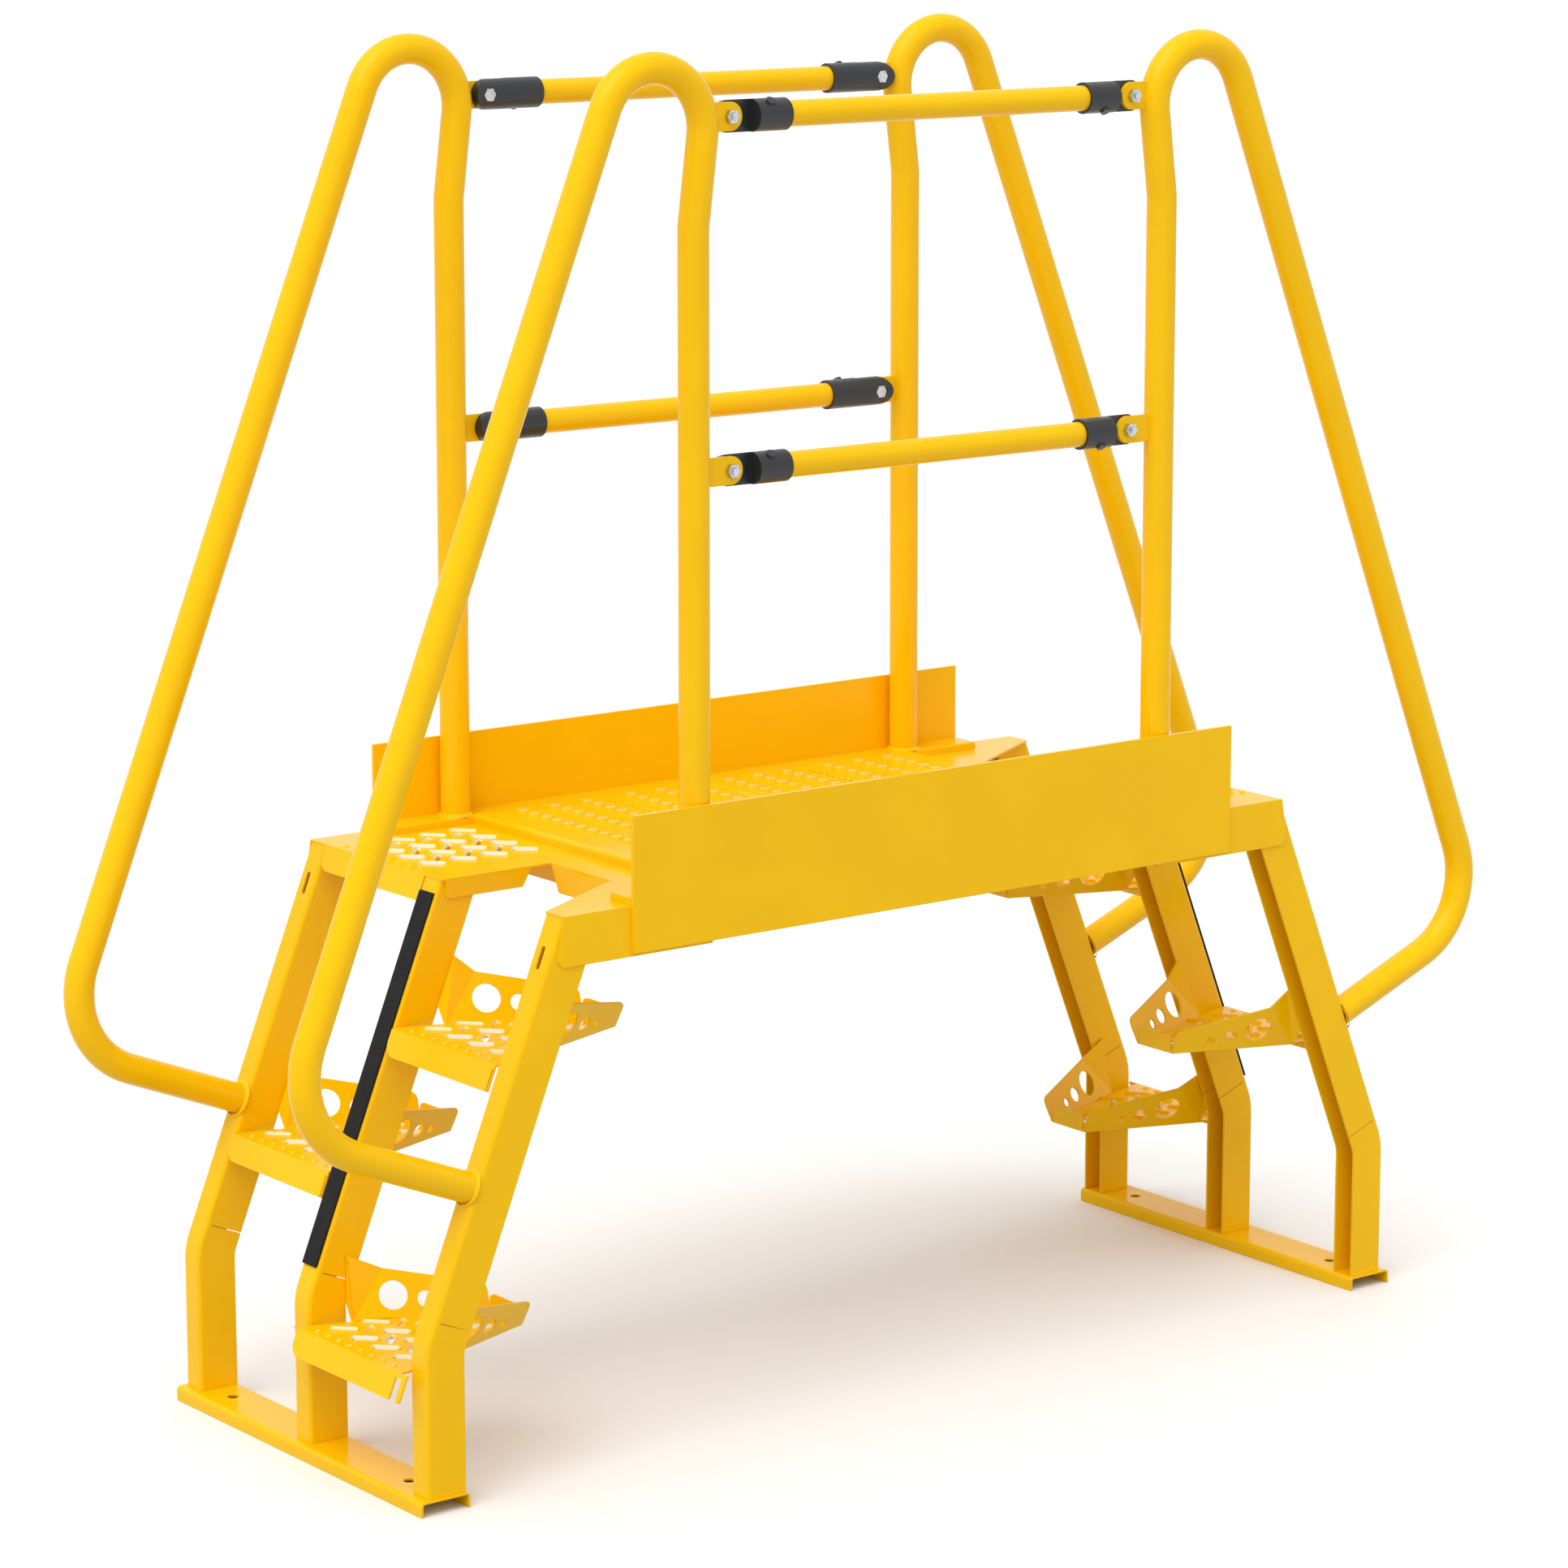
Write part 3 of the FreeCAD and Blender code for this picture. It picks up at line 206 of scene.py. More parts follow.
class Recipe:
    """Adds and links the nodes of one material."""

    def __init__(self, name: str) -> None:
        """Starts an empty material of that name."""
        self.material = bpy.data.materials.new(name)
        self.material.use_nodes = True
        self.tree = self.material.node_tree
        self.tree.nodes.clear()

    def add(self, kind: str, inputs: dict | None = None, **settings: object) -> bpy.types.Node:
        """Adds a node.

        Args:
            kind: Node type without its ShaderNode start.
            inputs: Values or output sockets by input name or number.
            **settings: Attributes of the node, such as operation.

        Returns:
            The node.
        """
        node = self.tree.nodes.new("ShaderNode" + kind)
        for key, value in settings.items():
            setattr(node, key, value)
        for key, value in (inputs or {}).items():
            if isinstance(value, bpy.types.NodeSocket):
                self.tree.links.new(value, node.inputs[key])
            else:
                node.inputs[key].default_value = value
        return node

    def math(self, operation: str, first: object, second: object = 0.0) -> bpy.types.NodeSocket:
        """Returns the result of one operation on two values or sockets."""
        return self.add("Math", {0: first, 1: second}, operation=operation).outputs[0]

    def band(self, value: object, low: float, high: float, start: float = 0.0,
             stop: float = 1.0) -> bpy.types.NodeSocket:
        """Returns a value's run from low to high as an eased run from start to stop."""
        inputs = {"Value": value, "From Min": low, "From Max": high}
        inputs |= {"To Min": start, "To Max": stop}
        return self.add("MapRange", inputs, interpolation_type="SMOOTHSTEP").outputs[0]

    def noise(self, scale: float, detail: float = 2.0) -> bpy.types.NodeSocket:
        """Returns a noise in the part's own metres, with scale in features a metre."""
        where = self.add("TexCoord").outputs["Object"]
        inputs = {"Vector": where, "Scale": scale, "Detail": detail}
        return self.add("TexNoise", inputs).outputs["Fac"]

    def blend(self, share: object, first: object, second: object) -> bpy.types.NodeSocket:
        """Returns the first colour changed towards the second by a share."""
        paint = [(*c, 1.0) if isinstance(c, tuple) else c for c in (first, second)]
        node = self.add("Mix", {0: share, 6: paint[0], 7: paint[1]}, data_type="RGBA")
        return node.outputs[2]

    def edges(self, radius: float) -> tuple[bpy.types.NodeSocket, bpy.types.NodeSocket]:
        """Softens the edges of sheet metal.

        Args:
            radius: Radius of the soft edge.

        Returns:
            The softened normal, and a share that is 1 on an edge and 0 on a flat.
        """
        soft = self.add("Bevel", {"Radius": radius}, samples=4).outputs[0]
        flat = self.add("NewGeometry").outputs["Normal"]
        alike = self.add("VectorMath", {0: soft, 1: flat}, operation="DOT_PRODUCT")
        return soft, self.band(alike.outputs["Value"], 0.97, 0.75)

    def finish(self, inputs: dict) -> bpy.types.Material:
        """Adds the surface shader with its inputs and returns the material."""
        shader = self.add("BsdfPrincipled", inputs)
        self.add("OutputMaterial", {"Surface": shader.outputs[0]})
        return self.material


@dataclass(frozen=True)
class PowderCoat:
    """Glossy powder coat: orange peel, faint clouds, and a thinner, paler coat on edges.

    Attributes:
        name: Name of the material.
        colour: The coat on a flat.
        thin: The coat on an edge.
        gloss: Roughness of the coat.
        glare: How strongly the coat mirrors what it faces.
        peel: Height of the orange peel.
    """

    name: str = "yellow_powder_coat"
    colour: Colour = linear(255, 200, 3)
    thin: Colour = linear(255, 222, 60)
    gloss: float = 0.2
    glare: float = 0.15
    peel: float = 0.00006

    def lay(self, recipe: Recipe) -> tuple[dict, bpy.types.NodeSocket]:
        """Builds the coat's inputs.

        Args:
            recipe: The material's recipe.

        Returns:
            The shader's inputs, and the height of the orange peel.
        """
        soft, edge = recipe.edges(0.0012)
        clouds = recipe.noise(7.0)
        deep = tuple(c * 0.97 for c in self.colour)
        paint = recipe.blend(recipe.band(clouds, 0.35, 0.7), deep, self.colour)
        worn = recipe.math("MULTIPLY", edge, recipe.band(recipe.noise(60.0), 0.3, 0.7, 0.25, 0.6))
        peel = recipe.noise(420.0, 1.0)
        bump = recipe.add(
            "Bump", {"Strength": 0.5, "Distance": self.peel, "Height": peel, "Normal": soft}
        )
        rough = recipe.band(clouds, 0.3, 0.75, self.gloss - 0.03, self.gloss + 0.05)
        inputs = {
            "Base Color": recipe.blend(worn, paint, self.thin),
            "Roughness": rough,
            "Normal": bump.outputs[0],
            "Specular IOR Level": self.glare,
        }
        return inputs, peel

    def material(self) -> bpy.types.Material:
        """Builds the material."""
        recipe = Recipe(self.name)
        return recipe.finish(self.lay(recipe)[0])


@dataclass(frozen=True)
class PunchedCoat(PowderCoat):
    """The powder coat round a punched opening, with painted light: the opening's inner wall is painted
    the pale colour of the lit floor beyond.

    Attributes:
        painted_light_colour: Painted light on an opening's inner wall and on a dimple's middle: the
            lit floor's pale colour.
    """

    name: str = "yellow_powder_coat_open"
    painted_light_colour: Colour = linear(255, 253, 232)

    def material(self) -> bpy.types.Material:
        """Builds the material: the first texture coordinate runs from coat to painted light, the lit
        floor's pale colour.
        """
        recipe = Recipe(self.name)
        inputs, _ = self.lay(recipe)
        mark = recipe.add("UVMap", uv_map="marks").outputs[0]
        hole_and_painted_light_share = recipe.band(recipe.add("SeparateXYZ", {0: mark}).outputs[0], 0.35, 0.65)
        # Painted light: where the mark says so, the coat is painted the lit floor's pale colour.
        inputs["Base Color"] = recipe.blend(hole_and_painted_light_share, inputs["Base Color"], self.painted_light_colour)
        return recipe.finish(inputs)


@dataclass(frozen=True)
class ButtonCoat(PowderCoat):
    """The powder coat on a deck button, with its ring of small punched holes, each drawn as a dip with
    a painted highlight.

    Attributes:
        holes: Number of holes in the ring.
        ring: Radius of the ring.
        hole: Radius of a hole.
        painted_light_colour: Painted highlight in a hole: the pale light that the hole's lips catch.
    """

    name: str = "yellow_powder_coat_punched"
    holes: int = 6
    ring: float = 5.9 * MM
    hole: float = 1.7 * MM
    painted_light_colour: Colour = linear(255, 252, 214)

    def material(self) -> bpy.types.Material:
        """Builds the material.

        The holes stand at equal angles: the angle round the button is folded into one hole's
        share of the turn, and the distance to that hole's centre follows from it.
        """
        recipe = Recipe(self.name)
        inputs, _ = self.lay(recipe)
        mark = recipe.add("UVMap", uv_map="marks").outputs[0]
        split = recipe.add("SeparateXYZ", {0: mark})
        across, along = split.outputs[0], split.outputs[1]
        reach = recipe.add("VectorMath", {0: mark}, operation="LENGTH").outputs["Value"]
        angle = recipe.math("ARCTAN2", along, across)
        share = 2.0 * math.pi / self.holes
        folded = recipe.math("SUBTRACT", recipe.math("FLOORED_MODULO", angle, share), share / 2)
        out = recipe.math("MULTIPLY", reach, recipe.math("COSINE", folded))
        side = recipe.math("MULTIPLY", reach, recipe.math("SINE", folded))
        out = recipe.math("SUBTRACT", out, self.ring)
        apart = recipe.math(
            "SQRT", recipe.math("ADD", recipe.math("POWER", out, 2.0), recipe.math("POWER", side, 2.0))
        )
        apart = recipe.math("MINIMUM", apart, reach)
        hole_and_painted_light_share = recipe.band(apart, self.hole + 0.3 * MM, self.hole - 0.3 * MM)
        # Painted highlight: each hole's disc is painted pale, like the light its lips catch; the hole
        # is not cut.
        inputs["Base Color"] = recipe.blend(hole_and_painted_light_share, inputs["Base Color"], self.painted_light_colour)
        lip = recipe.band(apart, self.hole + 1.3 * MM, self.hole + 0.2 * MM)
        dip = recipe.math("SUBTRACT", lip, recipe.math("MULTIPLY", hole_and_painted_light_share, 1.4))
        raised = {"Strength": 0.9, "Distance": 0.0007, "Height": dip, "Normal": inputs["Normal"]}
        inputs["Normal"] = recipe.add("Bump", raised).outputs[0]
        return recipe.finish(inputs)


@dataclass(frozen=True)
class SatinPlastic:
    """Black moulded fittings: satin, with a fine grain and faint grey scuffs."""

    name: str = "black_satin_plastic"
    colour: Colour = linear(33, 36, 38)
    scuff: Colour = linear(58, 61, 63)

    def material(self) -> bpy.types.Material:
        """Builds the material."""
        recipe = Recipe(self.name)
        soft, edge = recipe.edges(0.001)
        rubbed = recipe.math("MULTIPLY", edge, recipe.band(recipe.noise(90.0), 0.35, 0.7, 0.1, 0.6))
        grain = recipe.noise(1500.0)
        height = {"Strength": 0.4, "Distance": 0.00005, "Height": grain, "Normal": soft}
        inputs = {
            "Base Color": recipe.blend(rubbed, self.colour, self.scuff),
            "Roughness": recipe.band(recipe.noise(40.0), 0.3, 0.7, 0.3, 0.42),
            "Normal": recipe.add("Bump", height).outputs[0],
        }
        return recipe.finish(inputs)


@dataclass(frozen=True)
class StripRubber:
    """Matt black rubber of the leg strips, finely gritted."""

    name: str = "black_rubber_strip"
    colour: Colour = linear(24, 24, 25)
    dusty: Colour = linear(37, 36, 35)

    def material(self) -> bpy.types.Material:
        """Builds the material."""
        recipe = Recipe(self.name)
        grit = recipe.noise(900.0)
        height = {"Strength": 0.5, "Distance": 0.0002, "Height": grit}
        inputs = {
            "Base Color": recipe.blend(recipe.band(recipe.noise(25.0), 0.4, 0.8, 0.0, 0.4),
                                       self.colour, self.dusty),
            "Roughness": recipe.band(grit, 0.3, 0.7, 0.6, 0.78),
            "Specular IOR Level": 0.2,
            "Normal": recipe.add("Bump", height).outputs[0],
        }
        return recipe.finish(inputs)


@dataclass(frozen=True)
class ZincPlate:
    """Zinc-plated steel of the bolts: bright, faintly mottled, darker where it is blued."""

    name: str = "zinc_plated_steel"
    colour: Colour = linear(206, 208, 212)
    blued: Colour = linear(160, 166, 176)

    def material(self) -> bpy.types.Material:
        """Builds the material."""
        recipe = Recipe(self.name)
        soft, _ = recipe.edges(0.0005)
        mottle = recipe.noise(260.0, 4.0)
        height = {"Strength": 0.3, "Distance": 0.00004, "Height": mottle, "Normal": soft}
        inputs = {
            "Base Color": recipe.blend(recipe.band(mottle, 0.4, 0.75), self.colour, self.blued),
            "Metallic": 1.0,
            "Roughness": recipe.band(mottle, 0.3, 0.7, 0.24, 0.38),
            "Normal": recipe.add("Bump", height).outputs[0],
        }
        return recipe.finish(inputs)


@dataclass
class Finishes:
    """The platform's finishes by the record's material slot."""

    coat: bpy.types.Material = field(default_factory=lambda: PowderCoat().material())
    # Coat with painted light: an opening's inner wall and a dimple's middle are painted the lit
    # floor's pale colour.
    open: bpy.types.Material = field(default_factory=lambda: PunchedCoat().material())
    # Coat with a painted highlight in each button hole.
    punched: bpy.types.Material = field(default_factory=lambda: ButtonCoat().material())
    plastic: bpy.types.Material = field(default_factory=lambda: SatinPlastic().material())
    rubber: bpy.types.Material = field(default_factory=lambda: StripRubber().material())
    zinc: bpy.types.Material = field(default_factory=lambda: ZincPlate().material())

    def dress(self, nodes: dict[str, bpy.types.Object], record: dict) -> None:
        """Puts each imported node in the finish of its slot.

        Args:
            nodes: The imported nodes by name.
            record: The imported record, whose subparts name each node's slot.
        """
        by_slot = {
            "yellow_coat": self.coat,
            "black_plastic": self.plastic,
            "black_rubber": self.rubber,
            "zinc": self.zinc,
        }
        for row in record["subparts"]:
            for place in nodes[row["node"]].material_slots:
                place.link = "OBJECT"
                place.material = by_slot[row["material_slot"]]


# ---- pressed and welded details


@dataclass
class Walking:
    """A perforated walking surface: a tread or a head plate.

    Attributes:
        node: The node that it belongs to.
        end: The end of the platform that it is at.
        top: Height of the surface.
        nose: Distance of the nose from the middle of the platform.
        middle: Place of the slot grid's middle across the platform, on the left end's side.
        slots: Grids of slots: first place behind the nose, first place across, columns, rows
            and slant.
        dimples: Places of the nose dimples across, from the grid's middle.
        pitch: Pitch of the slots both ways.
        length: Length of a slot.
        width: Width of a slot.
        rim: Width of a slot's raised rim.
        low: Height of the rim on its low side.
        proud: Height of the rim on its proud side.
        dimple_in: Distance of the dimples behind the nose.
    """

    node: str
    end: End
    top: float
    nose: float
    middle: float
    slots: list[tuple[float, float, int, int, Slant]]
    dimples: np.ndarray
    pitch: float = 50.8 * MM
    length: float = 38.0 * MM
    width: float = 9.5 * MM
    rim: float = 3.0 * MM
    low: float = 0.4 * MM
    proud: float = 4.4 * MM
    dimple_in: float = 12.5 * MM

    def rim_skin(self) -> Skin:
        """Raised rim round one slot.

        Returns:
            A wall carried round an oblong with round ends: it climbs from the plate, turns over
            and drops into the slot. Rows follow the profile, columns the outline, whose points
            are two half circles a straight apart. The height grows with the sine of the
            outline's angle, from the low side to the proud one. The drop is marked for painted
            light: it is painted the lit floor's pale colour.
        """
        turn = np.linspace(-0.5, 0.5, 7) * math.pi
        half = (self.length - self.width) / 2.0
        angle = np.concatenate((turn, turn + math.pi))
        shift = np.repeat((half, -half), len(turn))
        tilt = 0.5 + 0.5 * np.clip(1.6 * np.sin(angle), -1, 1)
        rise = self.low + (self.proud - self.low) * tilt
        out = np.array((self.rim, self.rim * 0.4, 0.0, -0.3 * MM, -0.4 * MM, -0.5 * MM))
        share = np.array((0.0, 0.8, 1.0, 0.94, 0.84, 0.0))[:, None]
        sunk = np.array((-0.2, 0.0, 0.0, 0.0, 0.0, -2.8))[:, None] * MM
        reach = self.width / 2.0 + out[:, None]
        x = shift[None, :] + reach * np.cos(angle)[None, :]
        y = reach * np.sin(angle)[None, :]
        skin = Skin.grid(np.stack((x, y, share * rise[None, :] + sunk), axis=-1), wrap=True)
        # The drop's two rows are marked for painted light, the lit floor's pale colour.
        return skin.marked(np.array((0.0, 0.0, 0.0, 0.0, 1.0, 1.0)), len(angle))

    def dimple_skin(self) -> Skin:
        """One nose dimple: a small crater, raised round a shallow middle.

        Returns:
            The crater turned about its axis, closed at its middle, which is marked for painted light:
            it is painted the lit floor's pale colour.
        """
        angle = np.linspace(0.0, 2.0 * math.pi, 12, endpoint=False)[None, :]
        reach = np.array((4.9, 3.9, 2.9, 2.5, 2.0))[:, None] * MM
        up = np.array((-0.1, 1.7, 2.2, 1.9, 0.9))[:, None] * MM
        ring = np.stack((reach * np.cos(angle), reach * np.sin(angle), up + 0.0 * angle), axis=-1)
        skin = Skin.grid(ring, wrap=True, capped=True)
        # The closed middle is marked for painted light, the lit floor's pale colour.
        return skin.marked(np.array((0.0, 0.0, 0.0, 0.0, 1.0)), angle.size)

    def place(self, inward: np.ndarray, across: np.ndarray) -> np.ndarray:
        """Turns places on the surface into places in the frame.

        Args:
            inward: Distances behind the nose.
            across: Distances from the grid's middle.

        Returns:
            One row of three metres a place: half a turn about Z takes the left end to the right.
        """
        x = (inward - self.nose) * self.end.value
        y = (across + self.middle) * self.end.value
        return np.stack((x, y, np.full_like(x, self.top)), axis=-1)

    def build(self, finishes: Finishes) -> None:
        """Makes the rims of all slots as one piece and the dimples as another."""
        places, turns = [], []
        for first, start, columns, rows, slant in self.slots:
            inward, across = np.meshgrid(
                first + self.pitch * np.arange(rows), start + self.pitch * np.arange(columns)
            )
            places.append(self.place(inward.ravel(), across.ravel()))
            half_turn = math.pi if self.end is End.RIGHT else 0.0
            turns.append(np.full(inward.size, math.radians(slant.value) + half_turn))
        rims = self.rim_skin().stamped(np.concatenate(places), np.concatenate(turns))
        rims.piece(self.node + "_slot_rims", "yellow_coat", finishes.open)
        spots = self.place(np.full_like(self.dimples, self.dimple_in), self.dimples)
        dimples = self.dimple_skin().stamped(spots, np.zeros(len(spots)))
        dimples.piece(self.node + "_nose_dimples", "yellow_coat", finishes.open)


@dataclass
class Nose:
    """The folded nose of a tread, which ends between its two stringers.

    Attributes:
        node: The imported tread.
        end: The end of the platform that it is at.
        top: Height of the tread.
        front: Distance of the nose from the middle of the platform.
        middle: Middle of the tread across the platform, on the left end's side.
        room: Half of the room between the stringers.
        near: Distance of the nose's end beside the slit from the middle of the tread.
        skin: Thickness of the folded sheet, measured along the walkway.
        tab: Width of the tab beside the slit, first as packed, then as it is.
        slit: Width of the slit, first as packed, then as it is.
        turn: Sheet beside the slit that keeps its round.
        corner: Radius of the far lower corner.
    """

    node: str
    end: End
    top: float
    front: float
    middle: float
    room: float = 122.9 * MM
    near: float = 122.9 * MM
    skin: float = 3.3 * MM
    tab: tuple[float, float] = (30.0 * MM, 1.5 * MM)
    slit: tuple[float, float] = (9.0 * MM, 3.0 * MM)
    turn: float = 4.1 * MM
    corner: float = 20.1 * MM

    def trimmed(self, points: np.ndarray) -> np.ndarray:
        """Draws the nose in between the stringers.

        Args:
            points: Corners of the tread, one row of three metres each.

        Returns:
            The corners with new places across. A corner belongs to the nose where it lies less
            than the sheet behind the sloping front. Its place across then follows a run of
            straight lines: the tab and the slit take their widths, the far corner keeps its
            round, and the plain sheet between them takes up the rest.
        """
        behind = points[:, 0] * self.end.value + self.front
        behind = behind + (self.top - points[:, 2]) / math.tan(SLOPE)
        across = points[:, 1] * self.end.value - self.middle
        outside = np.abs(across) > self.room + 1.0 * MM
        nose = (behind < self.skin) | ((behind < self.skin + 0.1 * MM) & outside)
        low, high = across[nose].min(), across[nose].max()
        was = np.cumsum((low, self.tab[0], self.slit[0], self.turn))
        now = np.cumsum((-self.near, self.tab[1], self.slit[1], self.turn))
        was = np.append(was, (high - self.corner, high))
        now = np.append(now, (self.room - self.corner, self.room))
        drawn = np.where(nose, np.interp(across, was, now), across)
        moved = points.copy()
        moved[:, 1] = (drawn + self.middle) * self.end.value
        return moved

    def build(self, finishes: Finishes) -> None:
        """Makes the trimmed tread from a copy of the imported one, and lets it stand for that."""
        mesh = frame["nodes"][self.node].data.copy()
        mesh.name = self.node + "_folded"
        flat = np.empty(3 * len(mesh.vertices), np.float32)
        mesh.vertices.foreach_get("co", flat)
        points = self.trimmed(flat.reshape(-1, 3).astype(float))
        mesh.vertices.foreach_set("co", points.astype(np.float32).ravel())
        mesh.update()
        mesh.materials.clear()
        mesh.materials.append(finishes.coat)
        thing = bpy.data.objects.new(self.node + "_folded", mesh)
        bpy.context.scene.collection.objects.link(thing)
        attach(thing, "root")
        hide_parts(self.node)
        log.info("%s: nose drawn in between the stringers", thing.name)


@dataclass
class Flights:
    """Both flights' treads and head plates.

    Attributes:
        rises: Tops of the treads.
        head_top: Top of the head plates.
        head_nose: Distance of a head plate's nose from the middle.
        overhang: How far a tread's nose stands in front of the stringers.
        half: Distance of a half tread's middle from the centre line.
        first: First row of slots behind the nose.
        pitch: Pitch of the slots.
        dimple_pitch: Pitch of the nose dimples.
        foot_near: End of the lowest nose, which stands in front of an upright leg.
        foot_tab: Tab of the lowest nose, first as packed, then as it is.
        foot_slit: Slit of the lowest nose, first as packed, then as it is.
    """

    rises: tuple[float, float, float] = (187.0 * MM, 380.6 * MM, 574.3 * MM)
    head_top: float = 768.0 * MM
    head_nose: float = 632.5 * MM
    overhang: float = 3.343 * MM
    half: float = 142.55 * MM
    first: float = 43.0 * MM
    pitch: float = 50.8 * MM
    dimple_pitch: float = 26.3 * MM
    foot_near: float = 142.4 * MM
    foot_tab: tuple[float, float] = (30.0 * MM, 9.4 * MM)
    foot_slit: tuple[float, float] = (9.0 * MM, 14.6 * MM)

    def nose_of(self, top: float) -> float:
        """Returns how far a tread's nose stands from the middle, on the slope of the legs."""
        return self.head_nose + (self.head_top - top) / math.tan(SLOPE) + self.overhang

    def build(self, finishes: Finishes) -> None:
        """Makes the pressed details of every tread and head plate."""
        p, f = self.pitch, self.first
        tread_slots = [
            (f, -1.5 * p, 4, 2, Slant.MAIN),
            (f + 2.0 * p, -0.5 * p, 2, 2, Slant.MAIN),
            (f + 0.5 * p, -p, 3, 2, Slant.CROSS),
            (f + 2.5 * p, 0.0, 1, 2, Slant.CROSS),
        ]
        head_slots = [(f, -1.5 * p, 4, 4, Slant.MAIN), (f + 0.5 * p, -p, 3, 3, Slant.CROSS)]
        dimples = np.arange(-3.5, 4.0) * self.dimple_pitch
        for end in End:
            for number, top in enumerate(self.rises, start=1):
                side = -self.half if number % 2 else self.half
                nose = self.nose_of(top)
                name = f"tread_{end.word}_{number}"
                folded = Nose(name, end, top, nose, side)
                if number == 1:
                    folded.near = self.foot_near
                    folded.tab = self.foot_tab
                    folded.slit = self.foot_slit
                folded.build(finishes)
                Walking(name, end, top, nose, side, tread_slots, dimples).build(finishes)
            name = f"head_plate_{end.word}"
            Walking(
                name, end, self.head_top, self.head_nose, self.half, head_slots, dimples
            ).build(finishes)


@dataclass
class Deck:
    """The deck planks' perforated buttons and small punched dots.

    Attributes:
        top: Height of the planks.
        rows: Distances of the button rows from the middle of the deck.
        dots: Distances of the dot rows from the middle of the deck.
        pitch: Pitch of the buttons across the walkway.
        button: Radius of a button.
        proud: Height of a button.
        beside: Buttons on either side of a row's middle one.
    """

    top: float = 782.0 * MM
    rows: tuple[float, ...] = (35.6 * MM, 88.3 * MM, 141.0 * MM, 218.0 * MM, 273.5 * MM, 329.0 * MM)
    dots: tuple[float, ...] = (10.0 * MM, 181.0 * MM, 368.0 * MM)
    pitch: float = 28.5 * MM
    button: float = 10.5 * MM
    proud: float = 4.6 * MM
    beside: int = 8

    def button_skin(self) -> Skin:
        """One button.

        Returns:
            A round-shouldered swelling turned about its axis: its height is the square root of
            what a power of the radius leaves. Its marks are the corners' places from its middle.
        """
        angle = np.linspace(0.0, 2.0 * math.pi, 14, endpoint=False)[None, :]
        share = np.array((1.0, 0.93, 0.84, 0.7, 0.35))[:, None]
        up = self.proud * np.sqrt(1.0 - share**3.2) - 0.05 * MM
        x, y = self.button * share * np.cos(angle), self.button * share * np.sin(angle)
        skin = Skin.grid(np.stack((x, y, np.broadcast_to(up, x.shape)), axis=-1), True, True)
        skin.marks = skin.points[:, :2].copy()
        return skin

    def dot_skin(self) -> Skin:
        """One small punched dot: a low nipple turned about its axis, closed at its top."""
        angle = np.linspace(0.0, 2.0 * math.pi, 8, endpoint=False)[None, :]
        reach = np.array((2.6, 1.7, 0.9))[:, None] * MM
        up = np.array((-0.1, 0.8, 1.0))[:, None] * MM
        ring = np.stack((reach * np.cos(angle), reach * np.sin(angle), up + 0.0 * angle), axis=-1)
        return Skin.grid(ring, wrap=True, capped=True)

    def build(self, finishes: Finishes) -> None:
        """Makes the buttons of each half of the deck, and all the dots."""
        across = np.arange(-self.beside, self.beside + 1) * self.pitch
        for side in End:
            x, y = np.meshgrid(-side.value * np.array(self.rows), across)
            spots = np.stack((x.ravel(), y.ravel(), np.full(x.size, self.top)), axis=-1)
            buttons = self.button_skin().stamped(spots, np.zeros(len(spots)))
            buttons.piece(f"deck_buttons_{side.word}", "yellow_coat", finishes.punched)
        lines = np.concatenate((-np.array(self.dots), self.dots))
        halves = np.arange(-2 * self.beside, 2 * self.beside + 1)
        x, y = np.meshgrid(lines, halves * self.pitch / 2.0)
        spots = np.stack((x.ravel(), y.ravel(), np.full(x.size, self.top)), axis=-1)
        dots = self.dot_skin().stamped(spots, np.zeros(len(spots)))
        dots.piece("deck_dots", "yellow_coat", finishes.coat)


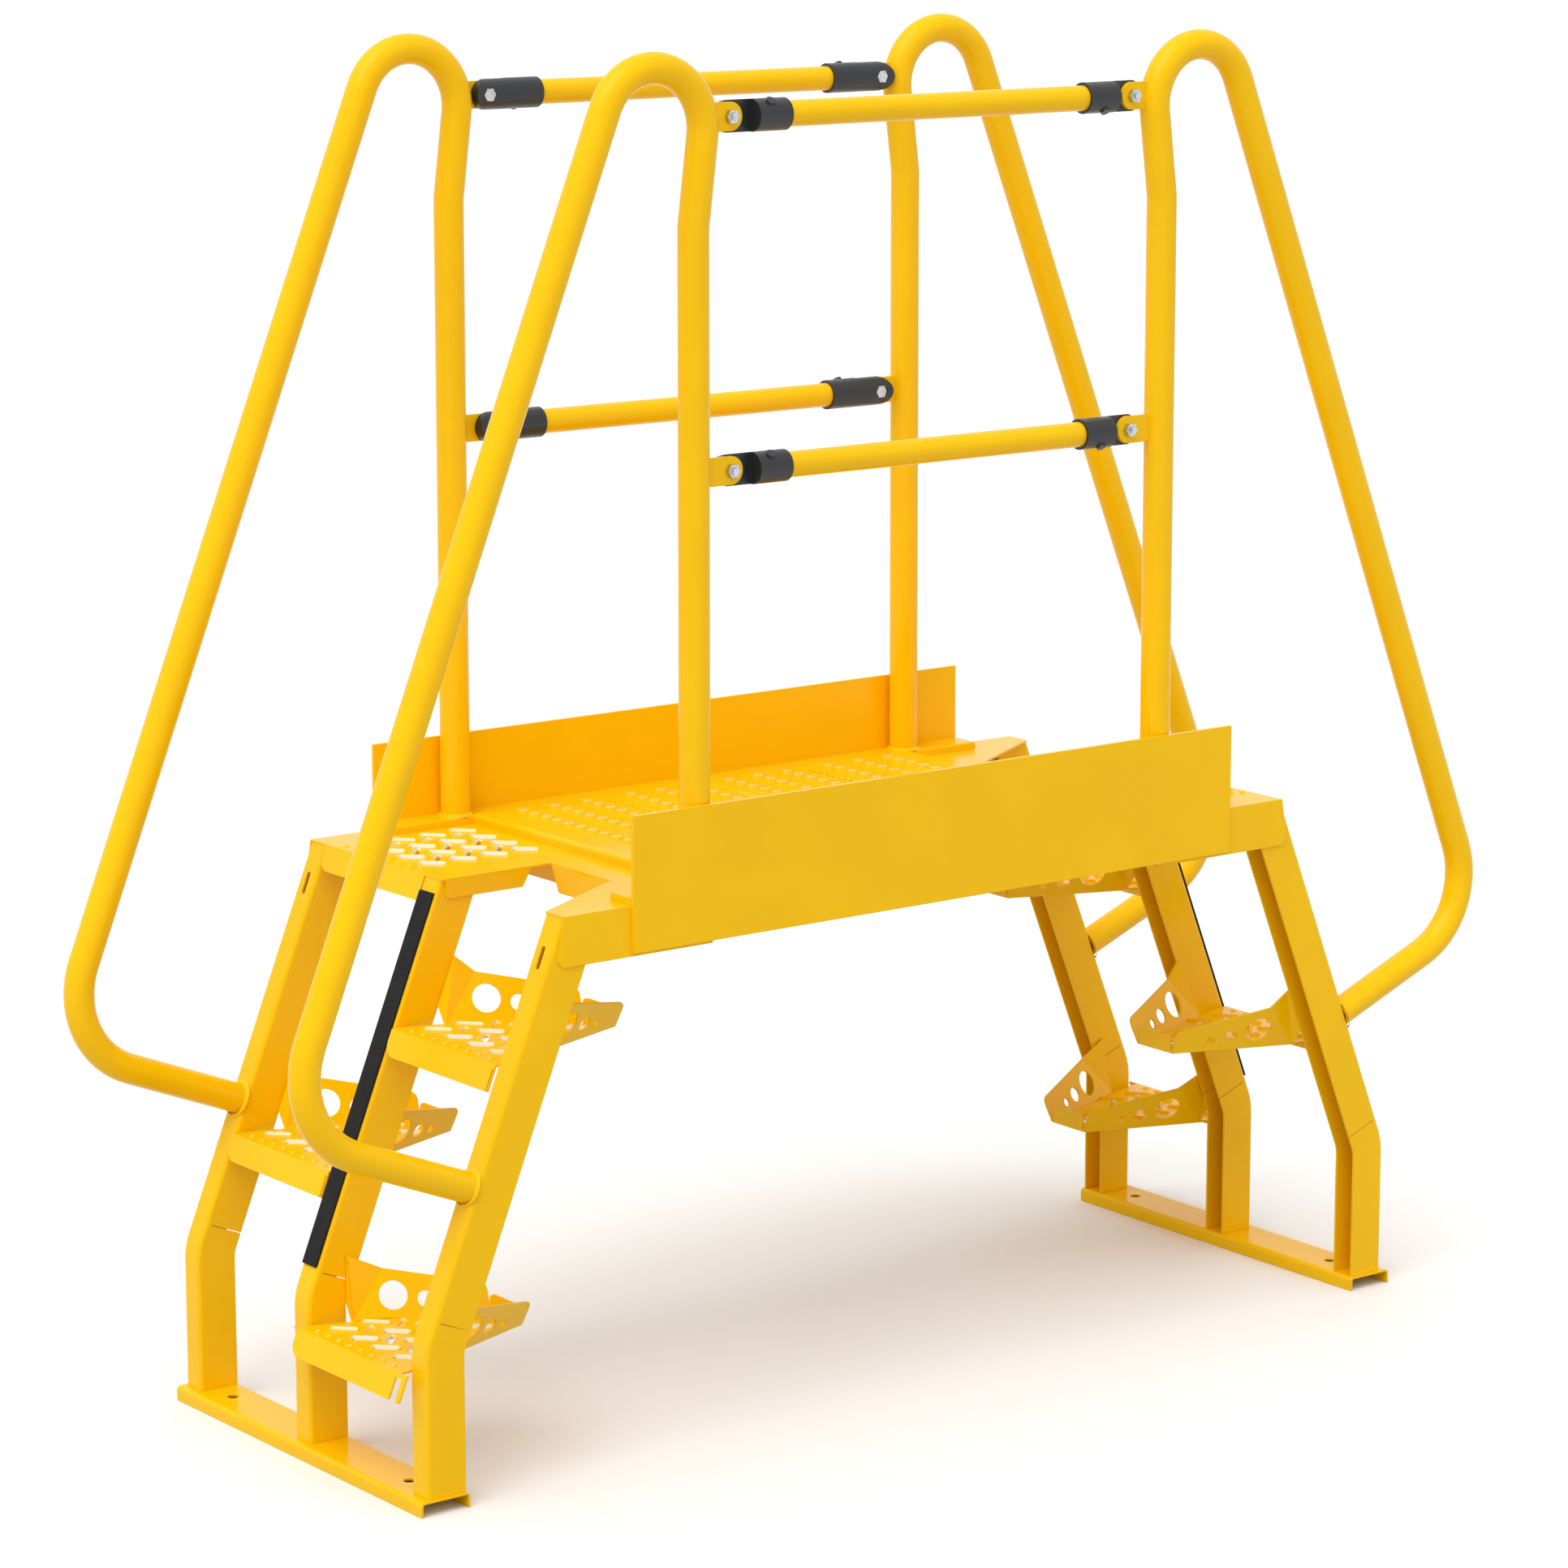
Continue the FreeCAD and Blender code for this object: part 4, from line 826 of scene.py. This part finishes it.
@dataclass
class Welds:
    """The weld beads where tubes stand on sheet metal.

    Attributes:
        post: Foot of a post from the middle, along and across.
        bar_top: Height of the side bars that the posts stand on.
        tube: Radius of the handrail tube.
        back_z: Height where the return tube meets the front of the stringer.
        front: The front of the stringers: its distance from the middle at the head's height.
        head_top: Height of the head plates.
        leg: Leg of a bead.
        ripples: Ripples round a bead.
        sunk: How far a bead is set into what it joins.
    """

    post: tuple[float, float] = (405.0 * MM, 284.5 * MM)
    bar_top: float = 778.5 * MM
    tube: float = 21.1 * MM
    back_z: float = 423.6 * MM
    front: float = 632.5 * MM
    head_top: float = 768.0 * MM
    leg: float = 4.2 * MM
    ripples: int = 26
    sunk: float = 0.1 * MM

    def bead(self, path: np.ndarray, outward: np.ndarray, along: np.ndarray) -> Skin:
        """Carries a bead's section round a closed path.

        Args:
            path: Corner between tube and plate, one row of three metres a point.
            outward: Way from the tube over the plate at each point.
            along: Way from the plate up the tube at each point.

        Returns:
            A quarter-round bead: each section runs from the plate over a bulge to the tube,
            and its leg swells and shrinks with the cosine of the ripples' angle.
        """
        turn = np.linspace(0.0, 2.0 * math.pi, len(path), endpoint=False)
        leg = self.leg * (1.0 + 0.07 * np.cos(self.ripples * turn))[None, :, None]
        bend = np.linspace(0.0, 0.5, 6)[:, None, None] * math.pi
        over, up = np.cos(bend) ** 1.35, np.sin(bend) ** 1.35
        section = over * outward[None] + up * along[None]
        points = path[None] + leg * section - self.sunk * along[None]
        return Skin.grid(points, wrap=True)

    def build(self, finishes: Finishes) -> None:
        """Makes the beads round the posts' feet and the ends of the return tubes."""
        turn = np.linspace(0.0, 2.0 * math.pi, 130, endpoint=False)
        c, s, nought = np.cos(turn), np.sin(turn), np.zeros_like(turn)
        for end in End:
            for word, side in (("near", -1.0), ("far", 1.0)):
                middle = np.array((-end.value * self.post[0], side * self.post[1], self.bar_top))
                ring = np.stack((c, s, nought), axis=-1)
                up = np.stack((nought, nought, nought + 1.0), axis=-1)
                foot = self.bead(middle + self.tube * ring, ring, up)
                foot.piece(f"post_weld_{end.word}_{word}", "yellow_coat", finishes.coat)
                z = self.back_z + self.tube * s
                x = self.front + (self.head_top - z) / math.tan(SLOPE)
                path = np.stack((-end.value * x, side * self.post[1] + self.tube * c, z), axis=-1)
                slope = np.stack((end.value * s / math.tan(SLOPE), c, s), axis=-1)
                away = np.stack((nought - end.value, nought, nought), axis=-1)
                if end is End.LEFT:
                    path, slope = path[::-1], slope[::-1]
                joint = self.bead(path, slope, away)
                joint.piece(f"return_weld_{end.word}_{word}", "yellow_coat", finishes.coat)


# ---- studio


@dataclass
class Studio:
    """Plain pale floor, soft light from above, and the camera.

    Attributes:
        lens: Focal length in millimetres on a sensor 36 mm wide.
        place: Place of the camera.
        azimuth: Turn of the camera about Z in degrees.
        pitch: How far the camera looks down, in degrees.
        sky: Level of the sky as light.
        key: Strength of the lamp.
        softness: Angle that the lamp fills, in degrees.
        lean: Turn of the lamp about X and Y in degrees.
        bounce: Grey of the floor as a bounce.
        pale: Grey of the floor where it is seen or mirrored.
        half_floor: Half the side of the floor.
        below: Height of the floor's surface, just under the feet.
    """

    lens: float = 116.87
    place: tuple[float, float, float] = (-4.31321, -5.59309, 2.23222)
    azimuth: float = -37.39
    pitch: float = 11.32
    sky: float = 0.8
    key: float = 1.57
    softness: float = 50.0
    lean: tuple[float, float] = (12.0, -30.0)
    bounce: float = 0.54
    pale: float = 0.96
    half_floor: float = 40.0
    below: float = -0.0005

    def floor(self) -> None:
        """Lays the floor: white to the camera and in reflections, greyer as a bounce."""
        recipe = Recipe("studio_floor")
        ray = recipe.add("LightPath").outputs
        seen = recipe.math("MAXIMUM", ray["Is Camera Ray"], ray["Is Glossy Ray"])
        seen = recipe.math("MAXIMUM", seen, ray["Is Transmission Ray"])
        paint = recipe.blend(seen, (self.bounce,) * 3, (self.pale,) * 3)
        material = recipe.finish({"Base Color": paint, "Roughness": 0.9})
        span = np.linspace(-self.half_floor, self.half_floor, 2)
        x, y = np.meshgrid(span, span)
        skin = Skin.grid(np.stack((x, y, np.full_like(x, self.below)), axis=-1))
        mesh = bpy.data.meshes.new("floor")
        mesh.from_pydata(skin.points.tolist(), [], skin.quads.tolist())
        mesh.materials.append(material)
        thing = bpy.data.objects.new("floor", mesh)
        bpy.context.scene.collection.objects.link(thing)

    def sky_light(self) -> None:
        """Sets the world: white where it is seen or mirrored, softer as light."""
        world = bpy.data.worlds.new("studio")
        world.use_nodes = True
        tree = world.node_tree
        tree.nodes.clear()
        ray = tree.nodes.new("ShaderNodeLightPath")
        seen = tree.nodes.new("ShaderNodeMath")
        seen.operation = "MAXIMUM"
        tree.links.new(ray.outputs["Is Camera Ray"], seen.inputs[0])
        tree.links.new(ray.outputs["Is Glossy Ray"], seen.inputs[1])
        level = tree.nodes.new("ShaderNodeMapRange")
        level.inputs["To Min"].default_value = self.sky
        level.inputs["To Max"].default_value = 1.0
        tree.links.new(seen.outputs[0], level.inputs["Value"])
        back = tree.nodes.new("ShaderNodeBackground")
        back.inputs["Color"].default_value = (1.0, 1.0, 1.0, 1.0)
        tree.links.new(level.outputs[0], back.inputs["Strength"])
        out = tree.nodes.new("ShaderNodeOutputWorld")
        tree.links.new(back.outputs[0], out.inputs["Surface"])
        bpy.context.scene.world = world

    def key_light(self) -> None:
        """Hangs one broad lamp high above, a little towards the left end and the viewer."""
        lamp = bpy.data.lights.new("key", "SUN")
        lamp.energy = self.key
        lamp.angle = math.radians(self.softness)
        thing = bpy.data.objects.new("key", lamp)
        thing.rotation_euler = (math.radians(self.lean[0]), math.radians(self.lean[1]), 0.0)
        bpy.context.scene.collection.objects.link(thing)

    def camera(self) -> None:
        """Sets the camera at the photograph's place and angle."""
        data = bpy.data.cameras.new("camera")
        data.sensor_width = 36.0
        data.lens = self.lens
        thing = bpy.data.objects.new("camera", data)
        thing.location = self.place
        thing.rotation_euler = (math.radians(90.0 - self.pitch), 0.0, math.radians(self.azimuth))
        bpy.context.scene.collection.objects.link(thing)
        bpy.context.scene.camera = thing

    def build(self) -> None:
        """Builds the floor, the light and the camera."""
        self.floor()
        self.sky_light()
        self.key_light()
        self.camera()
        bpy.context.scene.view_settings.view_transform = "Standard"


def main() -> None:
    """Dresses the frame and builds the details, then the studio."""
    logging.basicConfig(level=logging.INFO, format="%(name)s: %(message)s")
    finishes = Finishes()
    finishes.dress(frame["nodes"], frame["record"])
    Flights().build(finishes)
    Deck().build(finishes)
    Welds().build(finishes)
    Studio().build()


if __name__ == "__main__":
    main()
